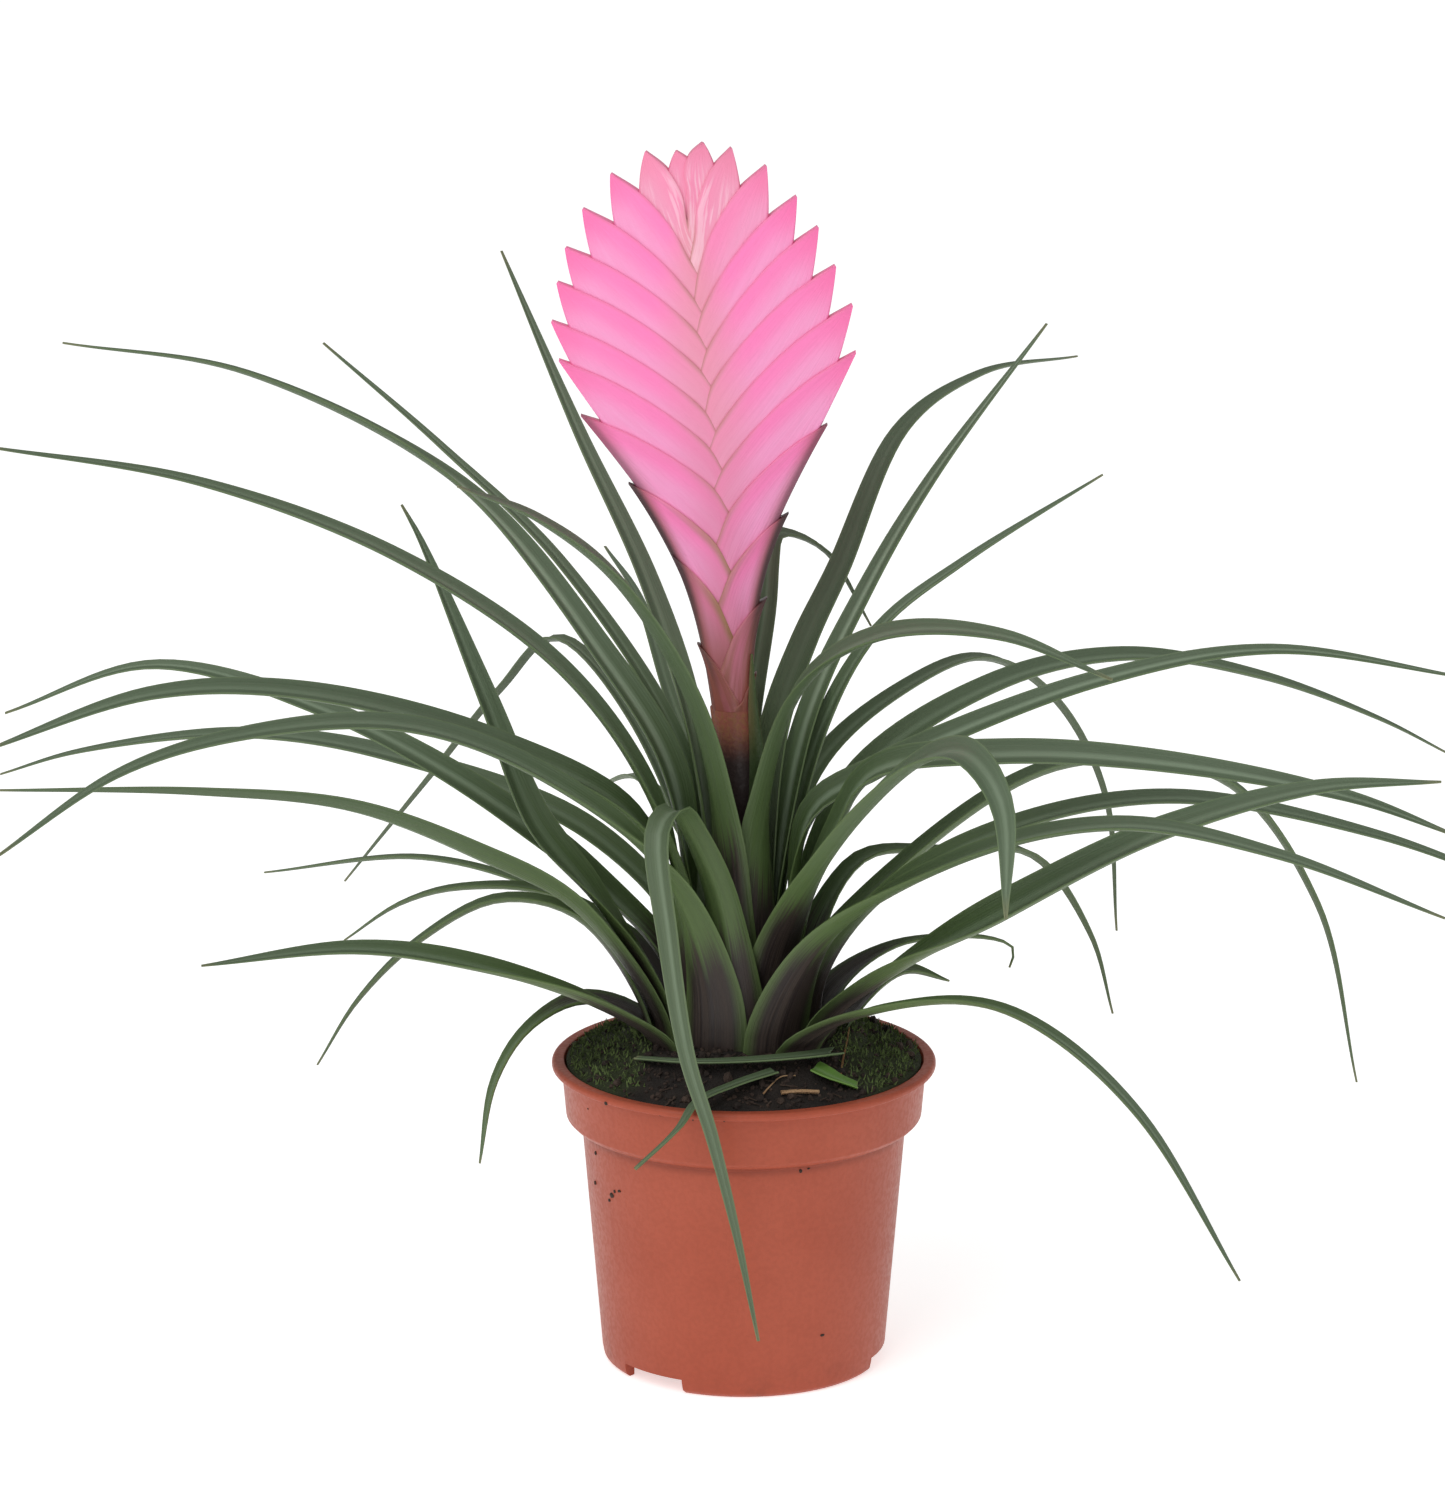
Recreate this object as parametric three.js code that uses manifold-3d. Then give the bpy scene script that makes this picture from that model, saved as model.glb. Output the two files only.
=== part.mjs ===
// Pink quill bromeliad in a round plastic nursery pot.
// Millimetres, +Z up. The origin is on the pot's axis at the level that the pot stands on,
// and -Y is the side that the flat face of the flower spike looks to.
import * as THREE from "three";
import { mergeVertices } from "three/addons/utils/BufferGeometryUtils.js";
import Module from "manifold-3d";

const wasm = await Module();
wasm.setup();

// Pot, a 9 cm nursery pot with a deep collar
const POT_HEIGHT = 73;
const RIM_RADIUS = 45;
const RIM_THICKNESS = 1.6;
const COLLAR_HEIGHT = 14.5;
const COLLAR_RADIUS_TOP = 42.7;
const COLLAR_RADIUS_BOTTOM = 41.7;
const BODY_RADIUS_TOP = 38;
const BODY_RADIUS_BOTTOM = 33.4;
const FOOT_RADIUS = 31.9;
const FOOT_WIDTH = 1.6;
const FOOT_ROUND = 3;
const SHOULDER_ROUND = 1.2;
const RIM_ROUND = 0.6;
const FLOOR_UNDERSIDE = 4;
const POT_WALL = 1.2;
const POT_SIDES = 48;
const NOTCH_COUNT = 3;
const NOTCH_FIRST_DEG = -131;
const NOTCH_ARC_DEG = 32;
const NOTCH_HEIGHT = 3.6;
const NOTCH_CUTTER_LENGTH = 12;
const DRAIN_HOLE_RADIUS = 3;
const DRAIN_HOLE_RING = 24;
const DRAIN_HOLE_SIDES = 12;

// Growing medium, mounded round the plant
const CLEARANCE = 0.3;
const SOIL_EDGE_LEVEL = 71;
const SOIL_CROWN_LEVEL = 79.5;
const SOIL_SLOPE = [[36, 0.3], [30, 0.7]];
const SOIL_HOLE_RADIUS = 25.6;
const SOIL_HOLE_FLARE = 2;
const SOIL_HOLE_FLOOR = 70;
const SOIL_SIDES = 40;
const SOIL_LUMP = 0.35;

// Leaves
const LEAF_FOOT_LEVEL = SOIL_HOLE_FLOOR + 0.4;
const RING_OUTER_RADIUS = 22.2;
const RING_PITCH = 1.5;
const SHEATH_WIDTH_LEAST = 9;
const SHEATH_WIDTH_PER_BLADE = 0.65;
const SHEATH_END = 46;
const ROLL_START = 30;
const ROLL_FULL = 75;
const TIP_ROLL_SHARE = [0.5, 0.72];
const LEAF_THICKNESS = 0.8;
const CHANNEL_HALF_ANGLE = 0.87;
const FOOT_ANGLE_MAX = 1.2;
const TIP_WIDTH = 0.8;
const ACROSS_FACES = 4;
const STEP_LENGTH = 15;
const CUT_LEAF_HALF_ANGLE = 0.45;

// Flower spike
const STEM_FOOT_RADIUS = 4.2;
const STEM_TOP_RADIUS = 5.3;
const STEM_TOP_LEVEL = 157.6;
const STEM_TOP_ROUND = 0.8;
const STEM_SWELL_LEVELS = [118, 145];
const STEM_SIDES = 12;
const SPIKE_FOOT_LEVEL = 158;
const SPIKE_FOOT_REACH = 5.3;
const SPIKE_DEPTHS = [[158, 4.4], [200, 4.4], [245, 3.8], [270, 2.6], [284, 1.4], [290, 0.4]];
const SPIKE_DEPTH_FADE = 1.8;
const SPIKE_ROUND_LEVELS = [158, 188];
const SPIKE_ROUND_FADE = 0.5;
const SPIKE_CORE = [[0, 158], [4.6, 158], [4.3, 172], [3.6, 200], [3, 240], [1.5, 268], [0, 276]];
const SPIKE_CORE_SIDES = 10;
const BRACT_TUCK = 30;
const BRACT_LIFT = 1.1;
const BRACT_LIFT_SHARPNESS = 2.2;
const BRACT_LIFT_AT_FOOT = 0.5;
const BRACT_LIFT_FULL_FROM = 0.2;
const BRACT_LIFT_LOSS_AT_TIP = 0.5;
const BRACT_EDGE_HALF_DEPTH = 0.35;
const BRACT_CLASP = [[158, 4.6], [185, 1]];
const KEEL_BOW_LOW = 0.37;
const KEEL_BOW_HIGH = 0.9;
const KEEL_BOW_LEVELS = [232, 264];
const KEEL_SAG = 0.24;
const KEEL_EDGE_DEPTH = 0.6;
const CROWN_SPREAD = [[274, 0], [283, 3], [290, 8.5]];
const CROWN_SHARE_OF_EDGE = 0.45;
const FREE_EDGE_BOW = 0.4;
const FREE_EDGE_RISE = 0.66;
const FREE_EDGE_PLACES = [0, 0.3, 0.65, 1];
const BRACT_BLUNT_TIP = 0.985;
const BRACT_STEPS_ALONG = 5;
const BRACT_STEPS_ACROSS = 4;

// Colours
const TERRACOTTA = 0xb2604a;
const PEAT = 0x2b2420;
const LEAF_GREEN = 0x4b5b3c;
const DRY_GREEN = 0x75805f;
const BRACT_PINK = 0xf78cbe;
const STEM_BROWN = 0x4a3430;

const plant = new THREE.Group();

const polar = (reach, degrees, height) => {
  const angle = THREE.MathUtils.degToRad(degrees);
  return new THREE.Vector3(reach * Math.cos(angle), reach * Math.sin(angle), height);
};

const positionsOnly = (geometry) => {
  geometry.deleteAttribute("normal");
  geometry.deleteAttribute("uv");
  return mergeVertices(geometry, 1e-4);
};

const toSolid = (geometry) => {
  const merged = positionsOnly(geometry);
  return new wasm.Manifold(new wasm.Mesh({
    numProp: 3,
    vertProperties: new Float32Array(merged.attributes.position.array),
    triVerts: new Uint32Array(merged.index.array),
  }));
};

const toGeometry = (solid) => {
  const mesh = solid.getMesh();
  const geometry = new THREE.BufferGeometry();
  geometry.setAttribute("position", new THREE.BufferAttribute(mesh.vertProperties, 3));
  geometry.setIndex(new THREE.BufferAttribute(mesh.triVerts, 1));
  return geometry;
};

const addMesh = (name, geometry, color, roughness) => {
  const material = new THREE.MeshStandardMaterial({ color, roughness, metalness: 0 });
  const mesh = new THREE.Mesh(geometry, material);
  mesh.name = name;
  plant.add(mesh);
};

// A full turn of a profile, stood up from the lathe's Y axis to Z
const turned = (profile, sides) => {
  const points = profile.map(([radius, height]) => new THREE.Vector2(radius, height));
  return new THREE.LatheGeometry(points, sides).rotateX(Math.PI / 2);
};

// Pot: thin wall, stepped collar, raised floor and a foot ring with drain notches
const potGeometry = () => {
  const collarBase = POT_HEIGHT - COLLAR_HEIGHT;
  const insideFloor = FLOOR_UNDERSIDE + POT_WALL;
  const profile = [
    [0, FLOOR_UNDERSIDE],
    [FOOT_RADIUS - FOOT_WIDTH, FLOOR_UNDERSIDE],
    [FOOT_RADIUS - FOOT_WIDTH, 0],
    [FOOT_RADIUS, 0],
    [THREE.MathUtils.lerp(FOOT_RADIUS, BODY_RADIUS_BOTTOM, 0.75), FOOT_ROUND / 3],
    [BODY_RADIUS_BOTTOM, FOOT_ROUND],
    [BODY_RADIUS_TOP, collarBase - SHOULDER_ROUND],
    [COLLAR_RADIUS_BOTTOM - SHOULDER_ROUND, collarBase],
    [COLLAR_RADIUS_BOTTOM, collarBase + SHOULDER_ROUND],
    [COLLAR_RADIUS_TOP, POT_HEIGHT - RIM_THICKNESS - RIM_ROUND],
    [RIM_RADIUS, POT_HEIGHT - RIM_THICKNESS],
    [RIM_RADIUS, POT_HEIGHT - RIM_ROUND],
    [RIM_RADIUS - RIM_ROUND, POT_HEIGHT],
    [COLLAR_RADIUS_TOP - RIM_ROUND, POT_HEIGHT],
    [COLLAR_RADIUS_BOTTOM - POT_WALL, collarBase + SHOULDER_ROUND],
    [BODY_RADIUS_TOP - POT_WALL, collarBase - SHOULDER_ROUND / 2],
    [BODY_RADIUS_BOTTOM - POT_WALL, insideFloor],
    [0, insideFloor],
  ];
  let pot = toSolid(turned(profile, POT_SIDES));
  const step = 360 / NOTCH_COUNT;
  for (let i = 0; i < NOTCH_COUNT; i += 1) {
    const middle = NOTCH_FIRST_DEG + i * step;
    const notchWidth = 2 * FOOT_RADIUS * Math.sin(THREE.MathUtils.degToRad(NOTCH_ARC_DEG / 2));
    const notch = new THREE.BoxGeometry(NOTCH_CUTTER_LENGTH, notchWidth, 2 * NOTCH_HEIGHT);
    notch.translate(FOOT_RADIUS, 0, 0);
    notch.rotateZ(THREE.MathUtils.degToRad(middle));
    pot = pot.subtract(toSolid(notch));
    const hole = new THREE.CylinderGeometry(
      DRAIN_HOLE_RADIUS,
      DRAIN_HOLE_RADIUS,
      4 * POT_WALL,
      DRAIN_HOLE_SIDES,
    );
    hole.rotateX(Math.PI / 2);
    const place = polar(DRAIN_HOLE_RING, middle, FLOOR_UNDERSIDE);
    hole.translate(place.x, place.y, place.z);
    pot = pot.subtract(toSolid(hole));
  }
  return toGeometry(pot);
};

// Growing medium: fills the pot to just under the rim, with a plain hole that the plant stands in
const soilGeometry = () => {
  const collarBase = POT_HEIGHT - COLLAR_HEIGHT;
  const insideFloor = FLOOR_UNDERSIDE + POT_WALL + CLEARANCE;
  const gap = POT_WALL + CLEARANCE + 0.1;
  const mound = SOIL_CROWN_LEVEL - SOIL_EDGE_LEVEL;
  const profile = [
    [0, insideFloor],
    [BODY_RADIUS_BOTTOM - gap, insideFloor],
    [BODY_RADIUS_TOP - gap, collarBase - SHOULDER_ROUND / 3],
    [COLLAR_RADIUS_BOTTOM - gap, collarBase + SHOULDER_ROUND + CLEARANCE],
    [COLLAR_RADIUS_TOP - gap - 2 * CLEARANCE, SOIL_EDGE_LEVEL],
    ...SOIL_SLOPE.map(([radius, share]) => [radius, SOIL_EDGE_LEVEL + share * mound]),
    [SOIL_HOLE_RADIUS + SOIL_HOLE_FLARE, SOIL_CROWN_LEVEL],
    [SOIL_HOLE_RADIUS, SOIL_CROWN_LEVEL - SOIL_HOLE_FLARE],
    [SOIL_HOLE_RADIUS, SOIL_HOLE_FLOOR],
    [0, SOIL_HOLE_FLOOR],
  ];
  const geometry = positionsOnly(turned(profile, SOIL_SIDES));
  const at = geometry.attributes.position;
  for (let i = 0; i < at.count; i += 1) {
    const radius = Math.hypot(at.getX(i), at.getY(i));
    const onTop = at.getZ(i) > SOIL_EDGE_LEVEL + 0.1 && radius > SOIL_HOLE_RADIUS + 0.5;
    if (onTop) {
      const turn = Math.atan2(at.getY(i), at.getX(i));
      const lump = Math.sin(5 * turn + radius) + Math.sin(11 * turn - 0.6 * radius) - 1;
      at.setZ(i, at.getZ(i) + SOIL_LUMP * lump);
    }
  }
  return geometry;
};

// Leaf schedule. ring counts the nested sheaths inwards from the outermost, foot is the sheath's
// bearing and heading the blade's, in degrees from +X. roll turns the blade about its midrib, and
// tipRoll is the roll that it reaches towards the tip. spine lists the points that the midrib
// passes, as reach from the pot's axis and height above the table.
const LEAVES = [
  { name: "leaf_left_long", ring: 7, foot: -175, heading: -168, width: 12.5, taper: 1.3, roll: -45,
    tipRoll: 0, spine: [[13.4, 110], [17.5, 143], [34, 172], [66, 213], [114, 241], [156, 250]] },
  { name: "leaf_left_thin", ring: 9, foot: 151, heading: 155, width: 5.5, roll: -25,
    spine: [[9.8, 112], [16.7, 146], [47, 187], [78, 212], [109, 234]] },
  { name: "leaf_front_left", ring: 8, foot: -112, heading: -122, width: 13, taper: 2.4, roll: -35,
    spine: [[11, 108], [14, 136], [24, 164], [53, 197], [85, 218], [117, 232]] },
  { name: "leaf_left_arch", ring: 6, foot: -150, heading: -150, width: 11.5, taper: 1.1, roll: -40,
    spine: [[15.2, 105], [25, 139], [48, 172], [89, 203], [138, 226], [190, 240]] },
  { name: "leaf_left_upright", ring: 3, foot: -171, heading: -172, width: 12.5, roll: -50,
    spine: [[20.5, 88], [35.2, 113], [49, 132], [60, 161], [75, 200], [79, 208]] },
  { name: "leaf_left_low_a", ring: 4, foot: 164, heading: 171, width: 13, taper: 1, roll: -40,
    spine: [[17.5, 92], [38, 115], [67, 137], [100, 153], [140, 162], [176, 149]] },
  { name: "leaf_left_low_b", ring: 5, foot: -155, heading: -158, width: 9.5, taper: 3.2, roll: -30,
    spine: [[16.2, 98], [26.5, 132], [60, 154], [108, 171], [143, 174], [182, 165]] },
  { name: "leaf_left_low_c", ring: 5, foot: 137, heading: 156, width: 8.5, roll: -25,
    spine: [[16, 95], [44, 121], [92, 136], [132, 137], [176, 128], [198, 120]] },
  { name: "leaf_left_low_d", ring: 3, foot: -115, heading: -145, width: 12, taper: 1.2, roll: -35,
    spine: [[19, 95], [29, 124], [57, 150], [94, 167], [136, 171], [167, 167], [198, 153]] },
  { name: "leaf_left_low_e", ring: 2, foot: -165, heading: -160, width: 11.5, taper: 1.2, roll: 35,
    spine: [[22, 86], [40.8, 112.5], [65, 128], [95, 142], [131, 149], [178, 154]] },
  { name: "leaf_left_wisp", ring: 0, foot: 138, heading: 150, width: 4.5,
    spine: [[24, 80], [40, 98], [56, 106], [89, 109], [134, 99]] },
  { name: "leaf_left_low_f", ring: 2, foot: 146, heading: 165, width: 7.5,
    spine: [[22, 87], [47, 106], [69, 109], [84, 104], [98, 94]] },
  { name: "leaf_left_low_g", ring: 1, foot: -180, heading: -180, width: 8,
    spine: [[24, 86], [39, 107], [57, 111], [76, 101], [90, 87], [100, 71]] },
  { name: "leaf_left_low_h", ring: 0, foot: -148, heading: -155, width: 11, roll: -25,
    spine: [[24, 80], [37, 90], [67, 103], [97, 111], [135, 112]] },
  { name: "leaf_left_hanging", ring: 0, foot: -187, heading: -168, width: 7.5, roll: -20,
    spine: [[24, 80], [37, 87], [51, 83], [59, 71], [63, 51]] },
  { name: "leaf_back_left_thread", ring: 6, foot: 125, heading: 135, width: 5.5,
    spine: [[15, 105], [40, 146], [62, 163], [82, 147], [108, 120], [139, 88]] },
  { name: "leaf_back_arch", ring: 8, foot: 98, heading: 76, swing: -20, width: 7, roll: 30,
    spine: [[11.7, 115], [15, 150], [21, 177], [25.5, 188], [30, 191.5], [36.7, 190], [43, 185],
      [54, 166]] },
  { name: "leaf_back_tall", ring: 10, foot: 158, heading: 125, width: 9.5,
    spine: [[8, 115], [16.5, 153], [40, 180], [68, 210], [101, 249]] },
  { name: "leaf_back_short", ring: 5, foot: 76, heading: 105, width: 6,
    spine: [[17, 92], [30, 115], [60, 140], [97, 160], [132, 166]] },
  { name: "leaf_right_tall_a", ring: 11, foot: 47, heading: 52, width: 13, taper: 1.3,
    spine: [[7, 118], [12.5, 150], [24, 168], [37, 183], [60, 212], [92, 221], [132, 219]] },
  { name: "leaf_right_tall_b", ring: 10, foot: 25, heading: 29, width: 10, taper: 1.4, roll: 20,
    spine: [[8.5, 112], [16.6, 152], [33, 182], [50, 206], [81, 240]] },
  { name: "leaf_right_spear", ring: 9, foot: 40, heading: 5, width: 7.5, roll: 20,
    spine: [[10.2, 108], [20, 151], [32, 176], [51, 191], [83, 211]] },
  { name: "leaf_front_right_arch", ring: 9, foot: -70, heading: -50, width: 14, taper: 1.4, roll: 35,
    spine: [[9, 110], [10, 137], [20, 165], [47, 183], [88, 191], [124, 188]] },
  { name: "leaf_right_hoop", ring: 7, foot: 66, heading: 46, width: 7, roll: 5,
    spine: [[14, 106], [32, 137], [60, 153], [84, 154], [109, 139], [128, 111], [133, 76]] },
  { name: "leaf_right_sweep_a", ring: 6, foot: 27, heading: 24, width: 10, roll: 20,
    spine: [[15, 103], [30, 137], [65, 156], [99, 159.5], [135, 151], [168, 137], [188, 126]] },
  { name: "leaf_right_sweep_b", ring: 8, foot: -11, heading: 2, width: 10.5, taper: 1.4, roll: 35,
    spine: [[11.7, 106], [16.3, 133], [31, 142], [45, 149], [82, 163], [122, 170], [168, 163]] },
  { name: "leaf_front_right_folded", ring: 6, foot: -56, heading: -60, width: 13.5, taper: 3.4, roll: 30,
    spine: [[14.5, 98], [26, 117], [52, 143], [82, 164], [99, 168], [112, 160], [114, 135]] },
  { name: "leaf_right_low_a", ring: 7, foot: -12, heading: -28, width: 10, taper: 3, roll: 35,
    spine: [[13.7, 108], [23, 130.5], [34, 146], [66, 154], [104, 157], [152, 155], [178, 149.5]] },
  { name: "leaf_right_drooping", ring: 5, foot: 10, heading: 6, width: 10.5,
    spine: [[16, 92], [37, 117], [74, 141], [112, 137], [135, 107], [146, 62]] },
  { name: "leaf_right_hook", ring: 3, foot: 42, heading: 30, width: 7.5,
    spine: [[19.5, 92], [34, 115], [56, 115], [79, 111], [96, 89], [103, 68]] },
  { name: "leaf_right_low_b", ring: 3, foot: -18, heading: -20, width: 11, taper: 1.2, roll: 25,
    spine: [[19, 92], [32, 113], [64, 134], [103, 145], [151, 141], [193, 129.5]] },
  { name: "leaf_right_low_c", ring: 2, foot: -66, heading: -40, width: 12, taper: 1.4, roll: 20,
    spine: [[21, 86], [32, 109], [64, 132], [109, 148], [152, 149], [196, 143]] },
  { name: "leaf_right_straight", ring: 1, foot: -30, heading: -32, width: 14.5, taper: 2.2, roll: 35,
    spine: [[23, 84], [37, 97], [69, 118], [110, 143], [149, 159], [179, 165]] },
  { name: "leaf_right_curl", ring: 1, foot: 32, heading: 20, width: 4,
    spine: [[23, 84], [40, 95], [61, 96], [68, 92.5], [67, 88]] },
  { name: "leaf_right_stub", ring: 0, foot: 6, heading: 10, width: 7, taper: 5, roll: 20,
    spine: [[24, 80], [37, 92], [49, 89]] },
  { name: "leaf_right_trailing", ring: 0, foot: -58, heading: -45, width: 5.5, taper: 2.6,
    spine: [[24, 80], [34, 89], [69, 101], [94, 100], [124, 86], [154, 55]] },
  { name: "leaf_front_folded", ring: 4, foot: -98, heading: -117, swing: 31, width: 12, taper: 0.9,
    spine: [[17, 92], [19, 116], [27, 134], [35, 141], [42.5, 138], [48, 115], [50.7, 88],
      [50.8, 70], [48.5, 46], [46.6, 19]] },
  { name: "leaf_back_low_a", ring: 1, foot: 88, heading: 92, width: 8,
    spine: [[23, 86], [44, 108], [85, 117], [125, 101]] },
  { name: "leaf_back_low_b", ring: 2, foot: 104, heading: 110, width: 7,
    spine: [[22, 90], [40, 112], [72, 122], [105, 112]] },
  { name: "leaf_back_low_c", ring: 3, foot: 88, heading: 76, width: 7.5,
    spine: [[20, 94], [36, 118], [66, 131], [100, 124]] },
];

// Sheath and blade outline: wide round the stem, narrow above it, drawn out to a fine tip
const ringRadius = (leaf) => RING_OUTER_RADIUS - RING_PITCH * leaf.ring;

const sheathWidth = (leaf) => Math.min(
  SHEATH_WIDTH_LEAST + SHEATH_WIDTH_PER_BLADE * leaf.width,
  2 * FOOT_ANGLE_MAX * ringRadius(leaf),
);

const leafWidth = (leaf, distance, length) => {
  const open = THREE.MathUtils.smoothstep(distance, 0.25 * SHEATH_END, SHEATH_END);
  const wide = THREE.MathUtils.lerp(sheathWidth(leaf), leaf.width, open);
  const along = distance / length;
  return (wide - TIP_WIDTH) * (1 - Math.pow(along, leaf.taper ?? 1.8)) + TIP_WIDTH;
};

// A blade rolls about its midrib above the sheath, and one with a tipRoll goes on turning
const leafRoll = (leaf, distance, length) => {
  const roll = leaf.roll ?? 0;
  const [tipStart, tipFull] = TIP_ROLL_SHARE.map((share) => share * length);
  const turned = THREE.MathUtils.smoothstep(distance, ROLL_START, ROLL_FULL);
  const tipped = THREE.MathUtils.smoothstep(distance, tipStart, tipFull);
  return THREE.MathUtils.degToRad(turned * THREE.MathUtils.lerp(roll, leaf.tipRoll ?? roll, tipped));
};

const leafSpine = (leaf) => {
  const points = [polar(ringRadius(leaf), leaf.foot, LEAF_FOOT_LEVEL)];
  leaf.spine.forEach(([reach, height], i) => {
    const settled = Math.min(1, i / 2);
    const swung = (leaf.swing ?? 0) * Math.max(0, i - 4) / Math.max(1, leaf.spine.length - 5);
    const bearing = THREE.MathUtils.lerp(leaf.foot, leaf.heading, settled) + swung;
    points.push(polar(reach, bearing, height));
  });
  return new THREE.CatmullRomCurve3(points, false, "centripetal");
};

// A leaf starts as a flat strip and is bent along its midrib into a channel. section gives the
// width, the half angle of the channel and its roll at a distance from the foot.
const bentStrip = (curve, steps, sideways, section) => {
  const length = curve.getLength();
  const geometry = positionsOnly(new THREE.BoxGeometry(1, 1, 1, ACROSS_FACES, 1, steps));
  const at = geometry.attributes.position;
  for (let i = 0; i < at.count; i += 1) {
    const along = at.getZ(i) + 0.5;
    const point = curve.getPointAt(along);
    const tangent = curve.getTangentAt(along);
    const side = sideways(point, tangent);
    const { width, halfAngle, roll = 0 } = section(along * length, length);
    side.addScaledVector(tangent, -side.dot(tangent)).normalize().applyAxisAngle(tangent, roll);
    const inner = new THREE.Vector3().crossVectors(tangent, side);
    const bend = width / 2 / halfAngle;
    const theta = 2 * at.getX(i) * halfAngle;
    const shell = bend - at.getY(i) * LEAF_THICKNESS;
    point.addScaledVector(side, shell * Math.sin(theta));
    point.addScaledVector(inner, bend - shell * Math.cos(theta));
    at.setXYZ(i, point.x, point.y, point.z);
  }
  return geometry;
};

const leafGeometry = (leaf) => {
  const curve = leafSpine(leaf);
  const footAngle = sheathWidth(leaf) / 2 / ringRadius(leaf);
  const steps = THREE.MathUtils.clamp(Math.round(curve.getLength() / STEP_LENGTH), 7, 14);
  const sideways = (point) => new THREE.Vector3(-point.y, point.x, 0).normalize();
  const section = (distance, length) => {
    const open = THREE.MathUtils.smoothstep(distance, 0.25 * SHEATH_END, SHEATH_END);
    return {
      width: leafWidth(leaf, distance, length),
      halfAngle: THREE.MathUtils.lerp(footAngle, CHANNEL_HALF_ANGLE, open),
      roll: leafRoll(leaf, distance, length),
    };
  };
  return bentStrip(curve, steps, sideways, section);
};

// Cut and fallen pieces of leaf, lying on the soil and over the rim
const CUT_LEAVES = [
  { name: "cut_leaf_on_soil", width: 4.2, narrowTo: 2.2,
    points: [[22, -22, 80.8], [13, -26.5, 81.1], [0, -29, 80.9], [-12, -27.5, 80.2],
      [-25, -20, 78.8]] },
  { name: "cut_leaf_over_rim", width: 4, narrowTo: 0.9,
    points: [[7, -30.6, 78.8], [-2, -36, 77.4], [-11, -43.5, 75.4], [-15, -48.5, 71],
      [-25, -51, 62]] },
  { name: "cut_leaf_stub", width: 7.5, narrowTo: 5,
    points: [[16, -26.5, 78], [21, -28, 75.8], [26, -28, 73.6]] },
];

const cutLeafGeometry = (piece) => {
  const points = piece.points.map((place) => new THREE.Vector3(...place));
  const curve = new THREE.CatmullRomCurve3(points, false, "centripetal");
  const steps = THREE.MathUtils.clamp(Math.round(curve.getLength() / STEP_LENGTH), 3, 8);
  const sideways = (point, tangent) => new THREE.Vector3(-tangent.y, tangent.x, 0);
  const section = (distance, length) => ({
    width: THREE.MathUtils.lerp(piece.width, piece.narrowTo, distance / length),
    halfAngle: CUT_LEAF_HALF_ANGLE,
  });
  return bentStrip(curve, steps, sideways, section);
};

// Gives a value at a height from rows of height and value
const tableAt = (table, height) => {
  let i = 1;
  while (i < table.length - 1 && table[i][0] < height) i += 1;
  const [low, first] = table[i - 1];
  const [high, last] = table[i];
  return THREE.MathUtils.lerp(first, last, THREE.MathUtils.clamp((height - low) / (high - low), 0, 1));
};

// Flower spike: the line that the bracts spring from, as height and place across
const AXIS = [[70, 0], [140, -0.5], [165, -3.5], [200, -5.5], [234, -8], [270, -11.5], [284, -12]];

// Each bract's tip, the place where its free edge crosses the spike's midline and the place where
// that edge goes under, all across and up; lift is how far its face stands proud at the free edge
const LEFT_BRACTS = [
  { tip: [-11, 173], cross: [-5.5, 167.5], end: [-0.5, 158.5] },
  { tip: [-17, 194], cross: [-6, 183.5], end: [-2.5, 175.5] },
  { tip: [-27, 211], cross: [-6.5, 197.5], end: [-3, 191] },
  { tip: [-38, 227], cross: [-7, 210.5], end: [-3.5, 205] },
  { tip: [-43, 240], cross: [-8, 220], end: [-5, 215] },
  { tip: [-44.5, 249], cross: [-9, 228.5], end: [-6.5, 224] },
  { tip: [-43, 258], cross: [-10, 238], end: [-7.5, 234.5] },
  { tip: [-41, 266], cross: [-11, 247], end: [-8.5, 243] },
  { tip: [-37, 275], cross: [-11.5, 254.5], end: [-9.5, 251.5] },
  { tip: [-30.5, 283], cross: [-12.5, 263.5], end: [-10.5, 260.5] },
  { tip: [-22.5, 288], cross: [-13, 272], end: [-11.5, 268.5] },
  { tip: [-15.5, 288], cross: [-10.5, 279], end: [-11, 272], lift: 0.2 },
];
const RIGHT_BRACTS = [
  { tip: [3, 166], cross: [-0.5, 160], end: [-2.5, 158.5] },
  { tip: [5.5, 184], cross: [-2.5, 175.5], end: [-5.5, 167.5] },
  { tip: [10.5, 204], cross: [-3, 191], end: [-6, 183.5] },
  { tip: [19.5, 225], cross: [-3.5, 205], end: [-6.5, 197.5] },
  { tip: [26, 242], cross: [-5, 215], end: [-7, 210.5] },
  { tip: [25, 253], cross: [-6.5, 224], end: [-8, 220] },
  { tip: [21, 262], cross: [-7.5, 234.5], end: [-9, 228.5] },
  { tip: [17, 271], cross: [-8.5, 243], end: [-10, 238] },
  { tip: [12, 278], cross: [-9.5, 252], end: [-11, 247] },
  { tip: [5, 285], cross: [-10.5, 261], end: [-11.5, 254.5] },
  { tip: [-3, 289], cross: [-11.5, 268.5], end: [-12.5, 263.5] },
  { tip: [-9.5, 290], cross: [-13, 279], end: [-13, 268] },
];

const upright = ([x, z]) => new THREE.Vector3(x, 0, z);

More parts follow.
